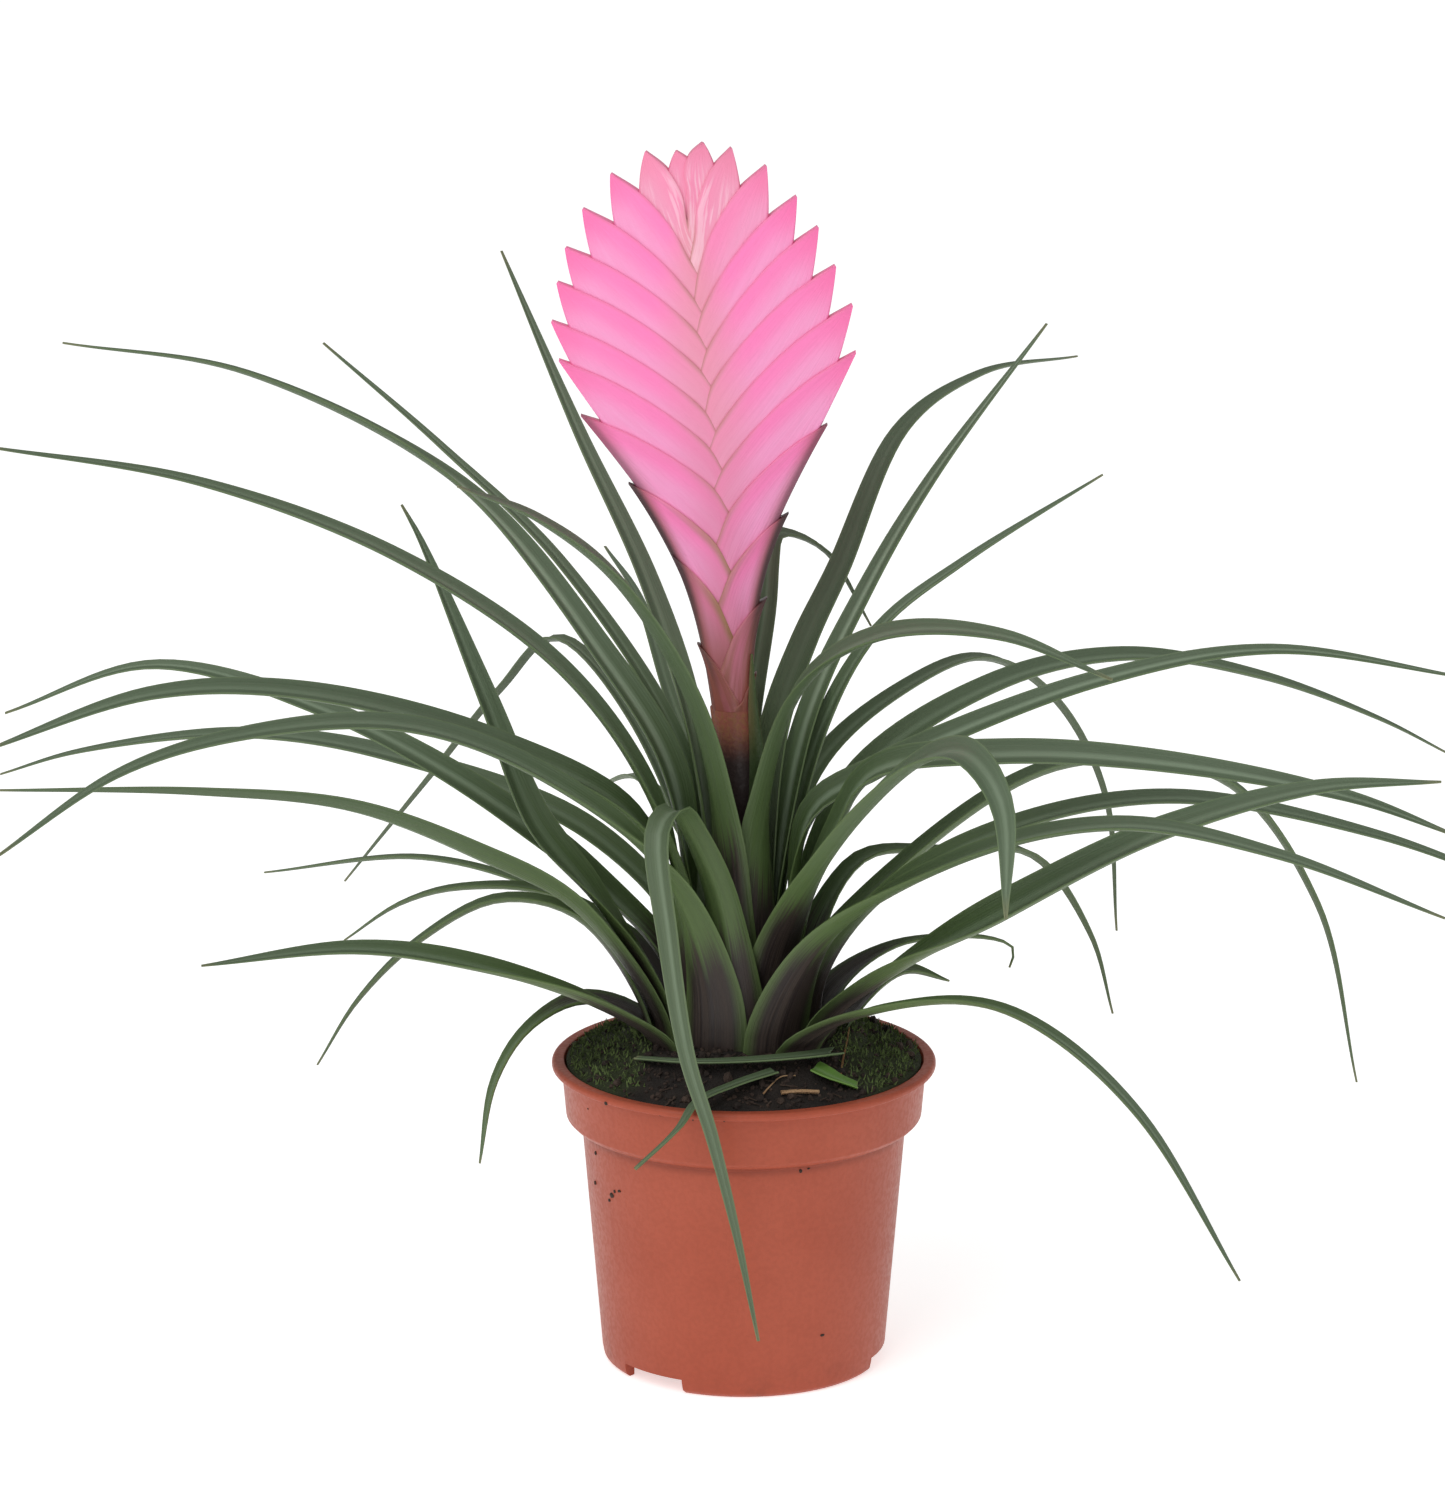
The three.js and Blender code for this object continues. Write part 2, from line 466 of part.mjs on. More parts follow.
// How far a rank's tips stand from the axis at a height
const outlineReach = (bracts, height) => {
  const tips = [[SPIKE_FOOT_LEVEL, SPIKE_FOOT_REACH]];
  bracts.forEach(({ tip: [x, z] }) => {
    if (z > tips[tips.length - 1][0]) tips.push([z, Math.abs(x - tableAt(AXIS, z))]);
  });
  return tableAt(tips, height);
};

// Half of the paddle's thickness without the steps between its bracts
const paddleDepth = (x, height) => {
  const offset = x - tableAt(AXIS, height);
  const reach = outlineReach(offset > 0 ? RIGHT_BRACTS : LEFT_BRACTS, height);
  const share = Math.min(1, Math.abs(offset) / reach);
  const upper = THREE.MathUtils.smoothstep(height, ...SPIKE_ROUND_LEVELS);
  const fade = THREE.MathUtils.lerp(SPIKE_ROUND_FADE, 1, upper);
  return tableAt(SPIKE_DEPTHS, height) * Math.pow(1 - Math.pow(share, SPIKE_DEPTH_FADE), fade);
};

const keelCurve = (bract, side) => {
  const [tipX, tipZ] = bract.tip;
  const [crossX, crossZ] = bract.cross;
  const reach = Math.abs(tipX - crossX);
  const footZ = Math.max(SPIKE_FOOT_LEVEL, crossZ - BRACT_TUCK);
  const footX = tableAt(AXIS, footZ) + side * tableAt(BRACT_CLASP, footZ);
  const upper = THREE.MathUtils.smoothstep(tipZ, ...KEEL_BOW_LEVELS);
  const bow = THREE.MathUtils.lerp(KEEL_BOW_LOW, KEEL_BOW_HIGH, upper);
  const pullX = crossX + side * (bow * reach + tableAt(CROWN_SPREAD, tipZ));
  return new THREE.QuadraticBezierCurve3(
    upright([footX, footZ]),
    upright([pullX, crossZ - KEEL_SAG * reach]),
    upright(bract.tip),
  );
};

const freeEdgeCurve = (bract, side) => {
  const [tipX, tipZ] = bract.tip;
  const [crossX, crossZ] = bract.cross;
  const spread = CROWN_SHARE_OF_EDGE * tableAt(CROWN_SPREAD, tipZ);
  const pull = upright([
    THREE.MathUtils.lerp(crossX, tipX, FREE_EDGE_BOW) - side * spread,
    THREE.MathUtils.lerp(crossZ, tipZ, FREE_EDGE_RISE),
  ]);
  const arch = new THREE.QuadraticBezierCurve3(upright(bract.cross), pull, upright(bract.tip));
  const points = FREE_EDGE_PLACES.map((share) => arch.getPoint(share));
  return new THREE.CatmullRomCurve3([upright(bract.end), ...points], false, "centripetal");
};

// A bract is a flat boat clasping the axis: its keel runs up the outside to the tip, and its free
// edge runs from the far side of the midline to the tip, standing proud of the bract above
const bractSolid = (bract, side) => {
  const keel = keelCurve(bract, side);
  const freeEdge = freeEdgeCurve(bract, side);
  const { lift = BRACT_LIFT } = bract;
  const box = new THREE.BoxGeometry(1, 1, 1, BRACT_STEPS_ACROSS, 1, BRACT_STEPS_ALONG);
  const geometry = positionsOnly(box);
  const at = geometry.attributes.position;
  for (let i = 0; i < at.count; i += 1) {
    const along = BRACT_BLUNT_TIP * (at.getZ(i) + 0.5);
    const across = 0.5 - side * at.getX(i);
    const place = keel.getPoint(along).lerp(freeEdge.getPointAt(along), across);
    const risen = THREE.MathUtils.smoothstep(along, 0, BRACT_LIFT_FULL_FROM);
    const sunk = THREE.MathUtils.lerp(BRACT_LIFT_AT_FOOT, 1, risen);
    const tapered = 1 - BRACT_LIFT_LOSS_AT_TIP * along;
    const step = lift * sunk * tapered * Math.pow(across, BRACT_LIFT_SHARPNESS);
    const keelShare = across === 0 ? KEEL_EDGE_DEPTH : 1;
    const core = keelShare * (BRACT_EDGE_HALF_DEPTH + paddleDepth(place.x, place.z));
    at.setXYZ(i, place.x, 2 * at.getY(i) * (core + step), place.z);
  }
  return toSolid(geometry);
};

// A solid of revolution whose centre line follows the leaning axis of the spike
const alongAxis = (profile, sides) => {
  const geometry = positionsOnly(turned(profile, sides));
  const at = geometry.attributes.position;
  for (let i = 0; i < at.count; i += 1) {
    at.setX(i, at.getX(i) + tableAt(AXIS, at.getZ(i)));
  }
  return geometry;
};

const spikeGeometry = () => {
  let spike = toSolid(alongAxis(SPIKE_CORE, SPIKE_CORE_SIDES));
  LEFT_BRACTS.forEach((bract) => {
    spike = spike.add(bractSolid(bract, -1));
  });
  RIGHT_BRACTS.forEach((bract) => {
    spike = spike.add(bractSolid(bract, 1));
  });
  return toGeometry(spike);
};

const stemGeometry = () => alongAxis([
  [0, LEAF_FOOT_LEVEL],
  [STEM_FOOT_RADIUS, LEAF_FOOT_LEVEL],
  [STEM_FOOT_RADIUS, STEM_SWELL_LEVELS[0]],
  [STEM_TOP_RADIUS, STEM_SWELL_LEVELS[1]],
  [STEM_TOP_RADIUS, STEM_TOP_LEVEL - 2 * STEM_TOP_ROUND],
  [STEM_TOP_RADIUS - STEM_TOP_ROUND, STEM_TOP_LEVEL],
  [0, STEM_TOP_LEVEL],
], STEM_SIDES);

addMesh("pot", potGeometry(), TERRACOTTA, 0.45);
addMesh("soil", soilGeometry(), PEAT, 0.95);
addMesh("flower_stem", stemGeometry(), STEM_BROWN, 0.55);
addMesh("flower_spike", spikeGeometry(), BRACT_PINK, 0.4);
LEAVES.forEach((leaf) => {
  addMesh(leaf.name, leafGeometry(leaf), LEAF_GREEN, 0.5);
});
CUT_LEAVES.forEach((piece) => {
  addMesh(piece.name, cutLeafGeometry(piece), DRY_GREEN, 0.7);
});

export default plant;
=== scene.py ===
"""A pink quill bromeliad in a nursery pot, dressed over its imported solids.

Metres, +Z up. The origin is on the pot's axis at the level that the pot stands on, and -Y is the
side that the flat face of the flower spike looks to.
"""

import logging
import math
import random
from dataclasses import dataclass
from enum import Enum
from typing import Callable, Iterator, Sequence

import bmesh
import bpy
from mathutils import Euler, Matrix, Vector, noise


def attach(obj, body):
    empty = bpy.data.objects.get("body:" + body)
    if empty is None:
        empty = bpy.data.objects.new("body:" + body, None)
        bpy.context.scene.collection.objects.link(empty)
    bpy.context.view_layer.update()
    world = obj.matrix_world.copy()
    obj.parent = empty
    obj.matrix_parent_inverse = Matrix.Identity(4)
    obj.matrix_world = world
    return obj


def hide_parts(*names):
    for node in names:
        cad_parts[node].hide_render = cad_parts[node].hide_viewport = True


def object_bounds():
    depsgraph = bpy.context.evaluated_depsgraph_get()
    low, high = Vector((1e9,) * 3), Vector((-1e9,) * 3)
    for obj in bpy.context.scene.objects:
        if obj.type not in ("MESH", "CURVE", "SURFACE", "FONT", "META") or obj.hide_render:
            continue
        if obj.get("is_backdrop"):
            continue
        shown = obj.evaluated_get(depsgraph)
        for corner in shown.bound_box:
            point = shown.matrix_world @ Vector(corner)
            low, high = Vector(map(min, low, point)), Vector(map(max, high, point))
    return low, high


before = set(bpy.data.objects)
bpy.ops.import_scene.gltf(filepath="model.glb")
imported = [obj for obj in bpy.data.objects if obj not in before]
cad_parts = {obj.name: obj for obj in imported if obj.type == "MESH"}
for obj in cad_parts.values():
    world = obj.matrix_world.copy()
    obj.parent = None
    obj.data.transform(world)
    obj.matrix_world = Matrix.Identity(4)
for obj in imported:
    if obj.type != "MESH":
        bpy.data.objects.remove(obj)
CAD_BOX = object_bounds()
BLADE_UV = "blade"
WHITE = (1.0, 1.0, 1.0, 1.0)
LOG = logging.getLogger("bromeliad")

# a Pair is a point or two sizes, and a Band is where something starts and where it ends
Rgb = tuple[int, int, int]
Pair = tuple[float, float]
Band = Pair
Shader = bpy.types.NodeSocket | float | tuple[float, ...]


class Slot(Enum):
    """Finishes that a piece can take."""

    POT = "pot"
    SOIL = "soil"
    LEAF = "leaf"
    BRACT = "bract"
    STEM = "stem"
    CUT_LEAF = "cut_leaf"


class Facing(Enum):
    """The two faces of a leaf, as the value of its facing attribute."""

    UNDER = 0.0
    UPPER = 1.0


def lerp(low: float, high: float, share: float) -> float:
    """Gives the value that lies a share of the way from low to high."""
    return low + (high - low) * share


def smoothstep(value: float, low: float, high: float) -> float:
    """Gives 0 below low, 1 above high and a smooth rise between them."""
    share = min(1.0, max(0.0, (value - low) / (high - low)))
    return share * share * (3.0 - 2.0 * share)


def polar(reach: float, degrees: float, height: float) -> Vector:
    """Gives the point at a reach from the pot's axis, a bearing from +X and a height."""
    angle = math.radians(degrees)
    return Vector((reach * math.cos(angle), reach * math.sin(angle), height))


def between(value: float, table: Sequence[Pair]) -> float:
    """Reads a table of pairs in rising order, on straight lines between them.

    Args:
        value: The first number to look up.
        table: Pairs of a number and its result.

    Returns:
        The result at value, held level past both ends.
    """
    if value <= table[0][0]:
        return table[0][1]
    for (low, start), (high, end) in zip(table, table[1:]):
        if value <= high:
            return lerp(start, end, (value - low) / (high - low))
    return table[-1][1]


def linear(colour: Rgb) -> tuple[float, float, float, float]:
    """Turns a screen colour of 0 to 255 into the linear colour that a shader takes."""
    parts = [channel / 255.0 for channel in colour]
    low = [part / 12.92 if part <= 0.04045 else ((part + 0.055) / 1.055) ** 2.4 for part in parts]
    return (low[0], low[1], low[2], 1.0)


class Spine:
    """A smooth line through a few points, followed by its length."""

    SAMPLES = 240

    def __init__(self, points: Sequence[Vector]) -> None:
        """Lays the line and measures it.

        Args:
            points: The points that the line passes, in order.
        """
        first = 2.0 * points[0] - points[1]
        last = 2.0 * points[-1] - points[-2]
        self.points = [first, *points, last]
        self.spans = len(points) - 1
        self.marks = [0.0]
        before = points[0]
        for i in range(1, self.SAMPLES + 1):
            here = self._cubic(i / self.SAMPLES)[0]
            self.marks.append(self.marks[-1] + (here - before).length)
            before = here
        self.length = self.marks[-1]

    def _cubic(self, share: float) -> tuple[Vector, Vector]:
        """Gives the place and the direction at a share of the line's own parameter."""
        at = min(share * self.spans, self.spans - 1e-9)
        span = int(at)
        t = at - span
        p0, p1, p2, p3 = self.points[span:span + 4]
        d0, d1, d2 = (math.sqrt((b - a).length) for a, b in ((p0, p1), (p1, p2), (p2, p3)))
        start = ((p1 - p0) / d0 - (p2 - p0) / (d0 + d1) + (p2 - p1) / d1) * d1
        end = ((p2 - p1) / d1 - (p3 - p1) / (d1 + d2) + (p3 - p2) / d2) * d1
        square = -3.0 * p1 + 3.0 * p2 - 2.0 * start - end
        cube = 2.0 * p1 - 2.0 * p2 + start + end
        place = p1 + start * t + square * t ** 2 + cube * t ** 3
        direction = start + 2.0 * square * t + 3.0 * cube * t ** 2
        return place, direction.normalized()

    def at(self, share: float) -> tuple[Vector, Vector]:
        """Finds a point by its share of the length.

        Args:
            share: 0 at the first point and 1 at the last.

        Returns:
            The place and the direction of the line there.
        """
        goal = min(1.0, max(0.0, share)) * self.length
        low, high = 0, self.SAMPLES
        while high - low > 1:
            middle = (low + high) // 2
            if self.marks[middle] <= goal:
                low = middle
            else:
                high = middle
        part = (goal - self.marks[low]) / max(1e-12, self.marks[high] - self.marks[low])
        return self._cubic((low + part) / self.SAMPLES)


@dataclass(frozen=True)
class Section:
    """A leaf's cross-section at one distance from its foot."""

    width: float
    half_angle: float
    thickness: float
    roll: float = 0.0


class Strip:
    """A flat closed slab that is bent along a spine into a channel.

    The slab lies across x from -0.5 to 0.5, along y from -0.5 to 0.5, with its outer face at z 0
    and its inner face at z 1.
    """

    MARGIN_SHARE = 0.42
    CREASE_SHARE = 0.28
    CREASE_WIDTH = 0.07

    def __init__(self, across: int, along: int) -> None:
        """Makes the flat slab.

        Args:
            across: Faces across the slab.
            along: Faces along it.
        """
        self.bm = bmesh.new()
        bmesh.ops.create_grid(self.bm, x_segments=across, y_segments=along, size=0.5)
        grown = bmesh.ops.extrude_face_region(
            self.bm, geom=self.bm.faces[:], use_keep_orig=True
        )
        inner = [part for part in grown["geom"] if isinstance(part, bmesh.types.BMVert)]
        bmesh.ops.translate(self.bm, verts=inner, vec=(0.0, 0.0, 1.0))
        uv = self.bm.loops.layers.uv.new(BLADE_UV)
        for face in self.bm.faces:
            for loop in face.loops:
                loop[uv].uv = (loop.vert.co.x + 0.5, loop.vert.co.y + 0.5)

    def mark(self, name: str, value: Callable[[Vector], float]) -> None:
        """Stores an attribute on the slab's points before it is bent.

        Args:
            name: The attribute's name.
            value: Gives the attribute from a point of the flat slab.
        """
        layer = self.bm.verts.layers.float.new(name)
        for vert in self.bm.verts:
            vert[layer] = value(vert.co)

    def mark_all(self, **values: float) -> None:
        """Stores attributes that are the same all over the slab."""
        for name, value in values.items():
            self.mark(name, lambda place, value=value: value)

    def bend(
        self,
        spine: Spine,
        section: Callable[[float], Section],
        sideways: Callable[[Vector, Vector], Vector],
    ) -> None:
        """Bends the slab along a spine.

        Args:
            spine: The line that the midrib follows.
            section: Gives the cross-section at a distance from the foot.
            sideways: Gives the direction across the leaf from a place and a direction.
        """
        rows: dict[float, tuple[Vector, Vector, Vector, Section]] = {}
        for vert in self.bm.verts:
            x, y, z = vert.co
            row = round(y, 5)
            if row not in rows:
                place, forward = spine.at(y + 0.5)
                side = sideways(place, forward)
                side = (side - forward * side.dot(forward)).normalized()
                cut = section((y + 0.5) * spine.length)
                side = Matrix.Rotation(cut.roll, 3, forward) @ side
                rows[row] = (place, side, forward.cross(side), cut)
            place, side, inner, cut = rows[row]
            bend = cut.width / 2.0 / cut.half_angle
            angle = 2.0 * x * cut.half_angle
            rounding = math.sqrt(max(0.0, 1.0 - 4.0 * x * x))
            wall = cut.thickness * lerp(self.MARGIN_SHARE, 1.0, rounding)
            crease = self.CREASE_SHARE * cut.thickness * math.exp(-(x / self.CREASE_WIDTH) ** 2)
            shell = bend - (z - 0.5) * wall + crease
            vert.co = (
                place + side * shell * math.sin(angle) + inner * (bend - shell * math.cos(angle))
            )


def facing(place: Vector) -> float:
    """Gives which face of a strip a point of the flat slab is on."""
    return Facing.UPPER.value if place.z > 0.5 else Facing.UNDER.value


def level_sideways(place: Vector, forward: Vector) -> Vector:
    """Gives the level direction across a strip that is laid on something."""
    return Vector((-forward.y, forward.x, 0.0))


def turned(profile: Sequence[Pair], steps: int) -> bmesh.types.BMesh:
    """Turns a profile once round the vertical axis.

    Args:
        profile: Points as radius and height, from axis to axis.
        steps: Faces round the turn.

    Returns:
        The closed shell, with its seam and poles merged and its faces outwards.
    """
    bm = bmesh.new()
    verts = [bm.verts.new((radius, 0.0, height)) for radius, height in profile]
    edges = [bm.edges.new(pair) for pair in zip(verts, verts[1:])]
    bmesh.ops.spin(
        bm,
        geom=[*verts, *edges],
        cent=(0.0, 0.0, 0.0),
        axis=(0.0, 0.0, 1.0),
        angle=2.0 * math.pi,
        steps=steps,
        use_merge=True,
    )
    bmesh.ops.remove_doubles(bm, verts=bm.verts[:], dist=1e-6)
    bmesh.ops.recalc_face_normals(bm, faces=bm.faces[:])
    return bm


def soften(bm: bmesh.types.BMesh, angle: float, offset: float) -> None:
    """Rounds the edges of a shell that turn by more than an angle.

    Args:
        bm: The shell.
        angle: The least turn to round, in degrees.
        offset: The width of the rounding.
    """
    sharp = [edge for edge in bm.edges if edge.calc_face_angle(0.0) > math.radians(angle)]
    bmesh.ops.bevel(
        bm,
        geom=sharp,
        offset=offset,
        affect="EDGES",
        segments=3,
        profile=0.5,
        material=-1,
        clamp_overlap=True,
    )


def make_piece(
    name: str,
    bm: bmesh.types.BMesh,
    material: bpy.types.Material,
    slot: Slot,
    *nodes: str,
    sharp_angle: float = 60.0,
) -> bpy.types.Object:
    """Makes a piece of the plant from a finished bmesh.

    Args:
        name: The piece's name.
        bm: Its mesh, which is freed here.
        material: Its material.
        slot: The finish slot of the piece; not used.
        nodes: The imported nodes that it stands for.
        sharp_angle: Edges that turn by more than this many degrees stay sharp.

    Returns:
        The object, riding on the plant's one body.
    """
    bmesh.ops.recalc_face_normals(bm, faces=bm.faces[:])
    mesh = bpy.data.meshes.new(name)
    bm.to_mesh(mesh)
    bm.free()
    mesh.shade_smooth()
    mesh.set_sharp_from_angle(angle=math.radians(sharp_angle))
    mesh.materials.append(material)
    piece = bpy.data.objects.new(name, mesh)
    bpy.context.scene.collection.objects.link(piece)
    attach(piece, "root")
    if nodes:
        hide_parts(*nodes)
    return piece


@dataclass
class NodePlan:
    """Adds nodes to one tree and wires them."""

    tree: bpy.types.NodeTree

    def add(self, kind: str, inputs: dict[str | int, Shader], **settings: object) -> bpy.types.Node:
        """Adds a node.

        Args:
            kind: The node's type.
            inputs: A value or a socket for each input, by name or number.
            settings: The node's own properties.

        Returns:
            The new node.
        """
        node = self.tree.nodes.new(kind)
        for name, value in settings.items():
            setattr(node, name, value)
        for key, value in inputs.items():
            if isinstance(value, bpy.types.NodeSocket):
                self.tree.links.new(value, node.inputs[key])
            else:
                node.inputs[key].default_value = value
        return node

    def math(self, operation: str, first: Shader, second: Shader = 0.0) -> bpy.types.NodeSocket:
        """Works out one sum and gives its socket."""
        return self.add("ShaderNodeMath", {0: first, 1: second}, operation=operation).outputs[0]

    def rise(
        self, value: Shader, band: Sequence[Shader], start: Shader = 0.0, end: Shader = 1.0
    ) -> bpy.types.NodeSocket:
        """Gives a smooth change from start to end as a value goes through a band.

        Args:
            value: The value.
            band: Where the change starts and where it ends.
            start: The result below the band.
            end: The result above it.

        Returns:
            The socket of the result.
        """
        inputs = {0: value, 1: band[0], 2: band[1], 3: start, 4: end}
        node = self.add("ShaderNodeMapRange", inputs, interpolation_type="SMOOTHSTEP")
        return node.outputs[0]

    def mix(
        self, share: Shader, first: Shader, second: Shader, label: str = ""
    ) -> bpy.types.NodeSocket:
        """Mixes two colours in a node with a label and gives the socket of the result."""
        inputs = {0: share, 6: first, 7: second}
        return self.add("ShaderNodeMix", inputs, data_type="RGBA", label=label).outputs[2]

    def product(self, *masks: Shader) -> Shader:
        """Multiplies masks."""
        result = masks[0]
        for mask in masks[1:]:
            result = self.math("MULTIPLY", result, mask)
        return result

    def attribute(self, name: str) -> bpy.types.NodeSocket:
        """Reads a number that is stored on the mesh."""
        node = self.add("ShaderNodeAttribute", {}, attribute_name=name)
        return node.outputs["Fac"]

    def object_place(self) -> bpy.types.NodeSocket:
        """Reads the place on the object."""
        return self.add("ShaderNodeTexCoord", {}).outputs["Object"]

    def height(self) -> bpy.types.NodeSocket:
        """Reads the height above the table."""
        return self.add("ShaderNodeSeparateXYZ", {0: self.object_place()}).outputs[2]

    def blade_place(self) -> Sequence[bpy.types.NodeSocket]:
        """Reads the place on a leaf's own map, as the map and the shares across and along."""
        place = self.add("ShaderNodeUVMap", {}, uv_map=BLADE_UV).outputs[0]
        parts = self.add("ShaderNodeSeparateXYZ", {0: place}).outputs
        return place, parts[0], parts[1]

    def noise(self, place: Shader, scale: float, detail: float = 2.0) -> bpy.types.NodeSocket:
        """Reads a cloudy pattern at a place."""
        inputs = {"Vector": place, "Scale": scale, "Detail": detail, "Roughness": 0.55}
        return self.add("ShaderNodeTexNoise", inputs).outputs[0]

    def group(
        self, tree: bpy.types.NodeTree, inputs: dict[str | int, Shader]
    ) -> bpy.types.NodeOutputs:
        """Places a node group and gives its outputs."""
        return self.add("ShaderNodeGroup", inputs, node_tree=tree).outputs

    def bump(self, height: Shader, strength: float, distance: float) -> bpy.types.NodeSocket:
        """Turns a height into a normal."""
        inputs = {"Height": height, "Strength": strength, "Distance": distance}
        return self.add("ShaderNodeBump", inputs).outputs[0]


class Patterns:
    """The patterns that several materials share, each a node group built once."""

    CONTRAST: Band = (0.3, 0.7)
    PATCH_SCALE = 0.16

    def __init__(self) -> None:
        """Builds the groups."""
        self.fibres = self._fibres()
        self.mottle = self._mottle()

    @staticmethod
    def _new_group(
        name: str, inputs: dict[str, str], outputs: Sequence[str]
    ) -> tuple[NodePlan, bpy.types.Node, bpy.types.Node]:
        """Starts a group with its sockets.

        Args:
            name: The group's name.
            inputs: Each input's name and socket type.
            outputs: The names of the outputs, all plain values.

        Returns:
            The plan of the group's tree, its input node and its output node.
        """
        tree = bpy.data.node_groups.new(name, "ShaderNodeTree")
        for label, kind in inputs.items():
            tree.interface.new_socket(name=label, in_out="INPUT", socket_type=kind)
        for label in outputs:
            tree.interface.new_socket(name=label, in_out="OUTPUT", socket_type="NodeSocketFloat")
        plan = NodePlan(tree)
        return plan, plan.add("NodeGroupInput", {}), plan.add("NodeGroupOutput", {})

    def _fibres(self) -> bpy.types.NodeTree:
        """Builds fine lines that run along a leaf, and cloudy patches drawn out with them."""
        inputs = {
            "Place": "NodeSocketVector",
            "Lines across": "NodeSocketFloat",
            "Breaks along": "NodeSocketFloat",
            "Shift": "NodeSocketFloat",
        }
        plan, given, result = self._new_group("leaf fibres", inputs, ("Lines", "Patches"))
        across, along = given.outputs[1], given.outputs[2]
        stretch = plan.add("ShaderNodeCombineXYZ", {0: across, 1: along, 2: 1.0}).outputs[0]
        stretched = plan.add(
            "ShaderNodeVectorMath", {0: given.outputs[0], 1: stretch}, operation="MULTIPLY"
        ).outputs[0]
        offset = plan.add("ShaderNodeCombineXYZ", {0: 0.0, 1: 0.0, 2: given.outputs[3]}).outputs[0]
        place = plan.add(
            "ShaderNodeVectorMath", {0: stretched, 1: offset}, operation="ADD"
        ).outputs[0]
        lines = plan.noise(place, 1.0, 3.0)
        patches = plan.noise(place, self.PATCH_SCALE, 2.0)
        plan.tree.links.new(plan.rise(lines, self.CONTRAST), result.inputs[0])
        plan.tree.links.new(plan.rise(patches, self.CONTRAST), result.inputs[1])
        return plan.tree

    def _mottle(self) -> bpy.types.NodeTree:
        """Builds broad patches and fine grain over a surface."""
        inputs = {
            "Place": "NodeSocketVector",
            "Patch scale": "NodeSocketFloat",
            "Grain scale": "NodeSocketFloat",
        }
        plan, given, result = self._new_group("surface mottle", inputs, ("Patches", "Grain"))
        for index, detail in ((1, 3.0), (2, 2.0)):
            pattern = plan.add(
                "ShaderNodeTexNoise",
                {"Vector": given.outputs[0], "Scale": given.outputs[index], "Detail": detail},
            )
            strong = plan.rise(pattern.outputs[0], self.CONTRAST)
            plan.tree.links.new(strong, result.inputs[index - 1])
        return plan.tree


class Over(Enum):
    """What a mask follows over a surface. Those that a material doesn't give are attributes."""

    ALONG = "along"
    SIDEWAYS = "sideways"
    HEIGHT = "height"
    LINES = "lines"
    PATCHES = "patches"
    GRAIN = "grain"
    SMUDGES = "smudges"
    BLADE = "blade"
    FACING = "facing"
    TONE = "tone"
    PALE = "pale"
    FRESH = "fresh"
    CHANNEL_HIGHLIGHT = "streak"
    MOSS = "moss"
    GREEN = "green"
    LEVEL = "level"
    FROM_KEEL = "from_keel"
    FROM_EDGE = "from_edge"


@dataclass(frozen=True)
class Ramp:
    """A mask that goes smoothly from first to last as a measure goes through a band."""

    over: Over
    band: Band
    first: float = 0.0
    last: float = 1.0


def fading(over: Over, band: Band, last: float = 0.0) -> Ramp:
    """Gives a mask that goes from 1 to last as a measure goes through a band."""
    return Ramp(over, band, 1.0, last)


@dataclass(frozen=True)
class Wash:
    """A tone that covers a share of what is under it, where all of its masks are high."""

    name: str
    tone: Rgb
    share: float
    masks: tuple[Ramp | Over, ...]


@dataclass(frozen=True)
class Relief:
    """Fine bumps that follow a measure."""

    over: Over
    strength: float
    depth: float


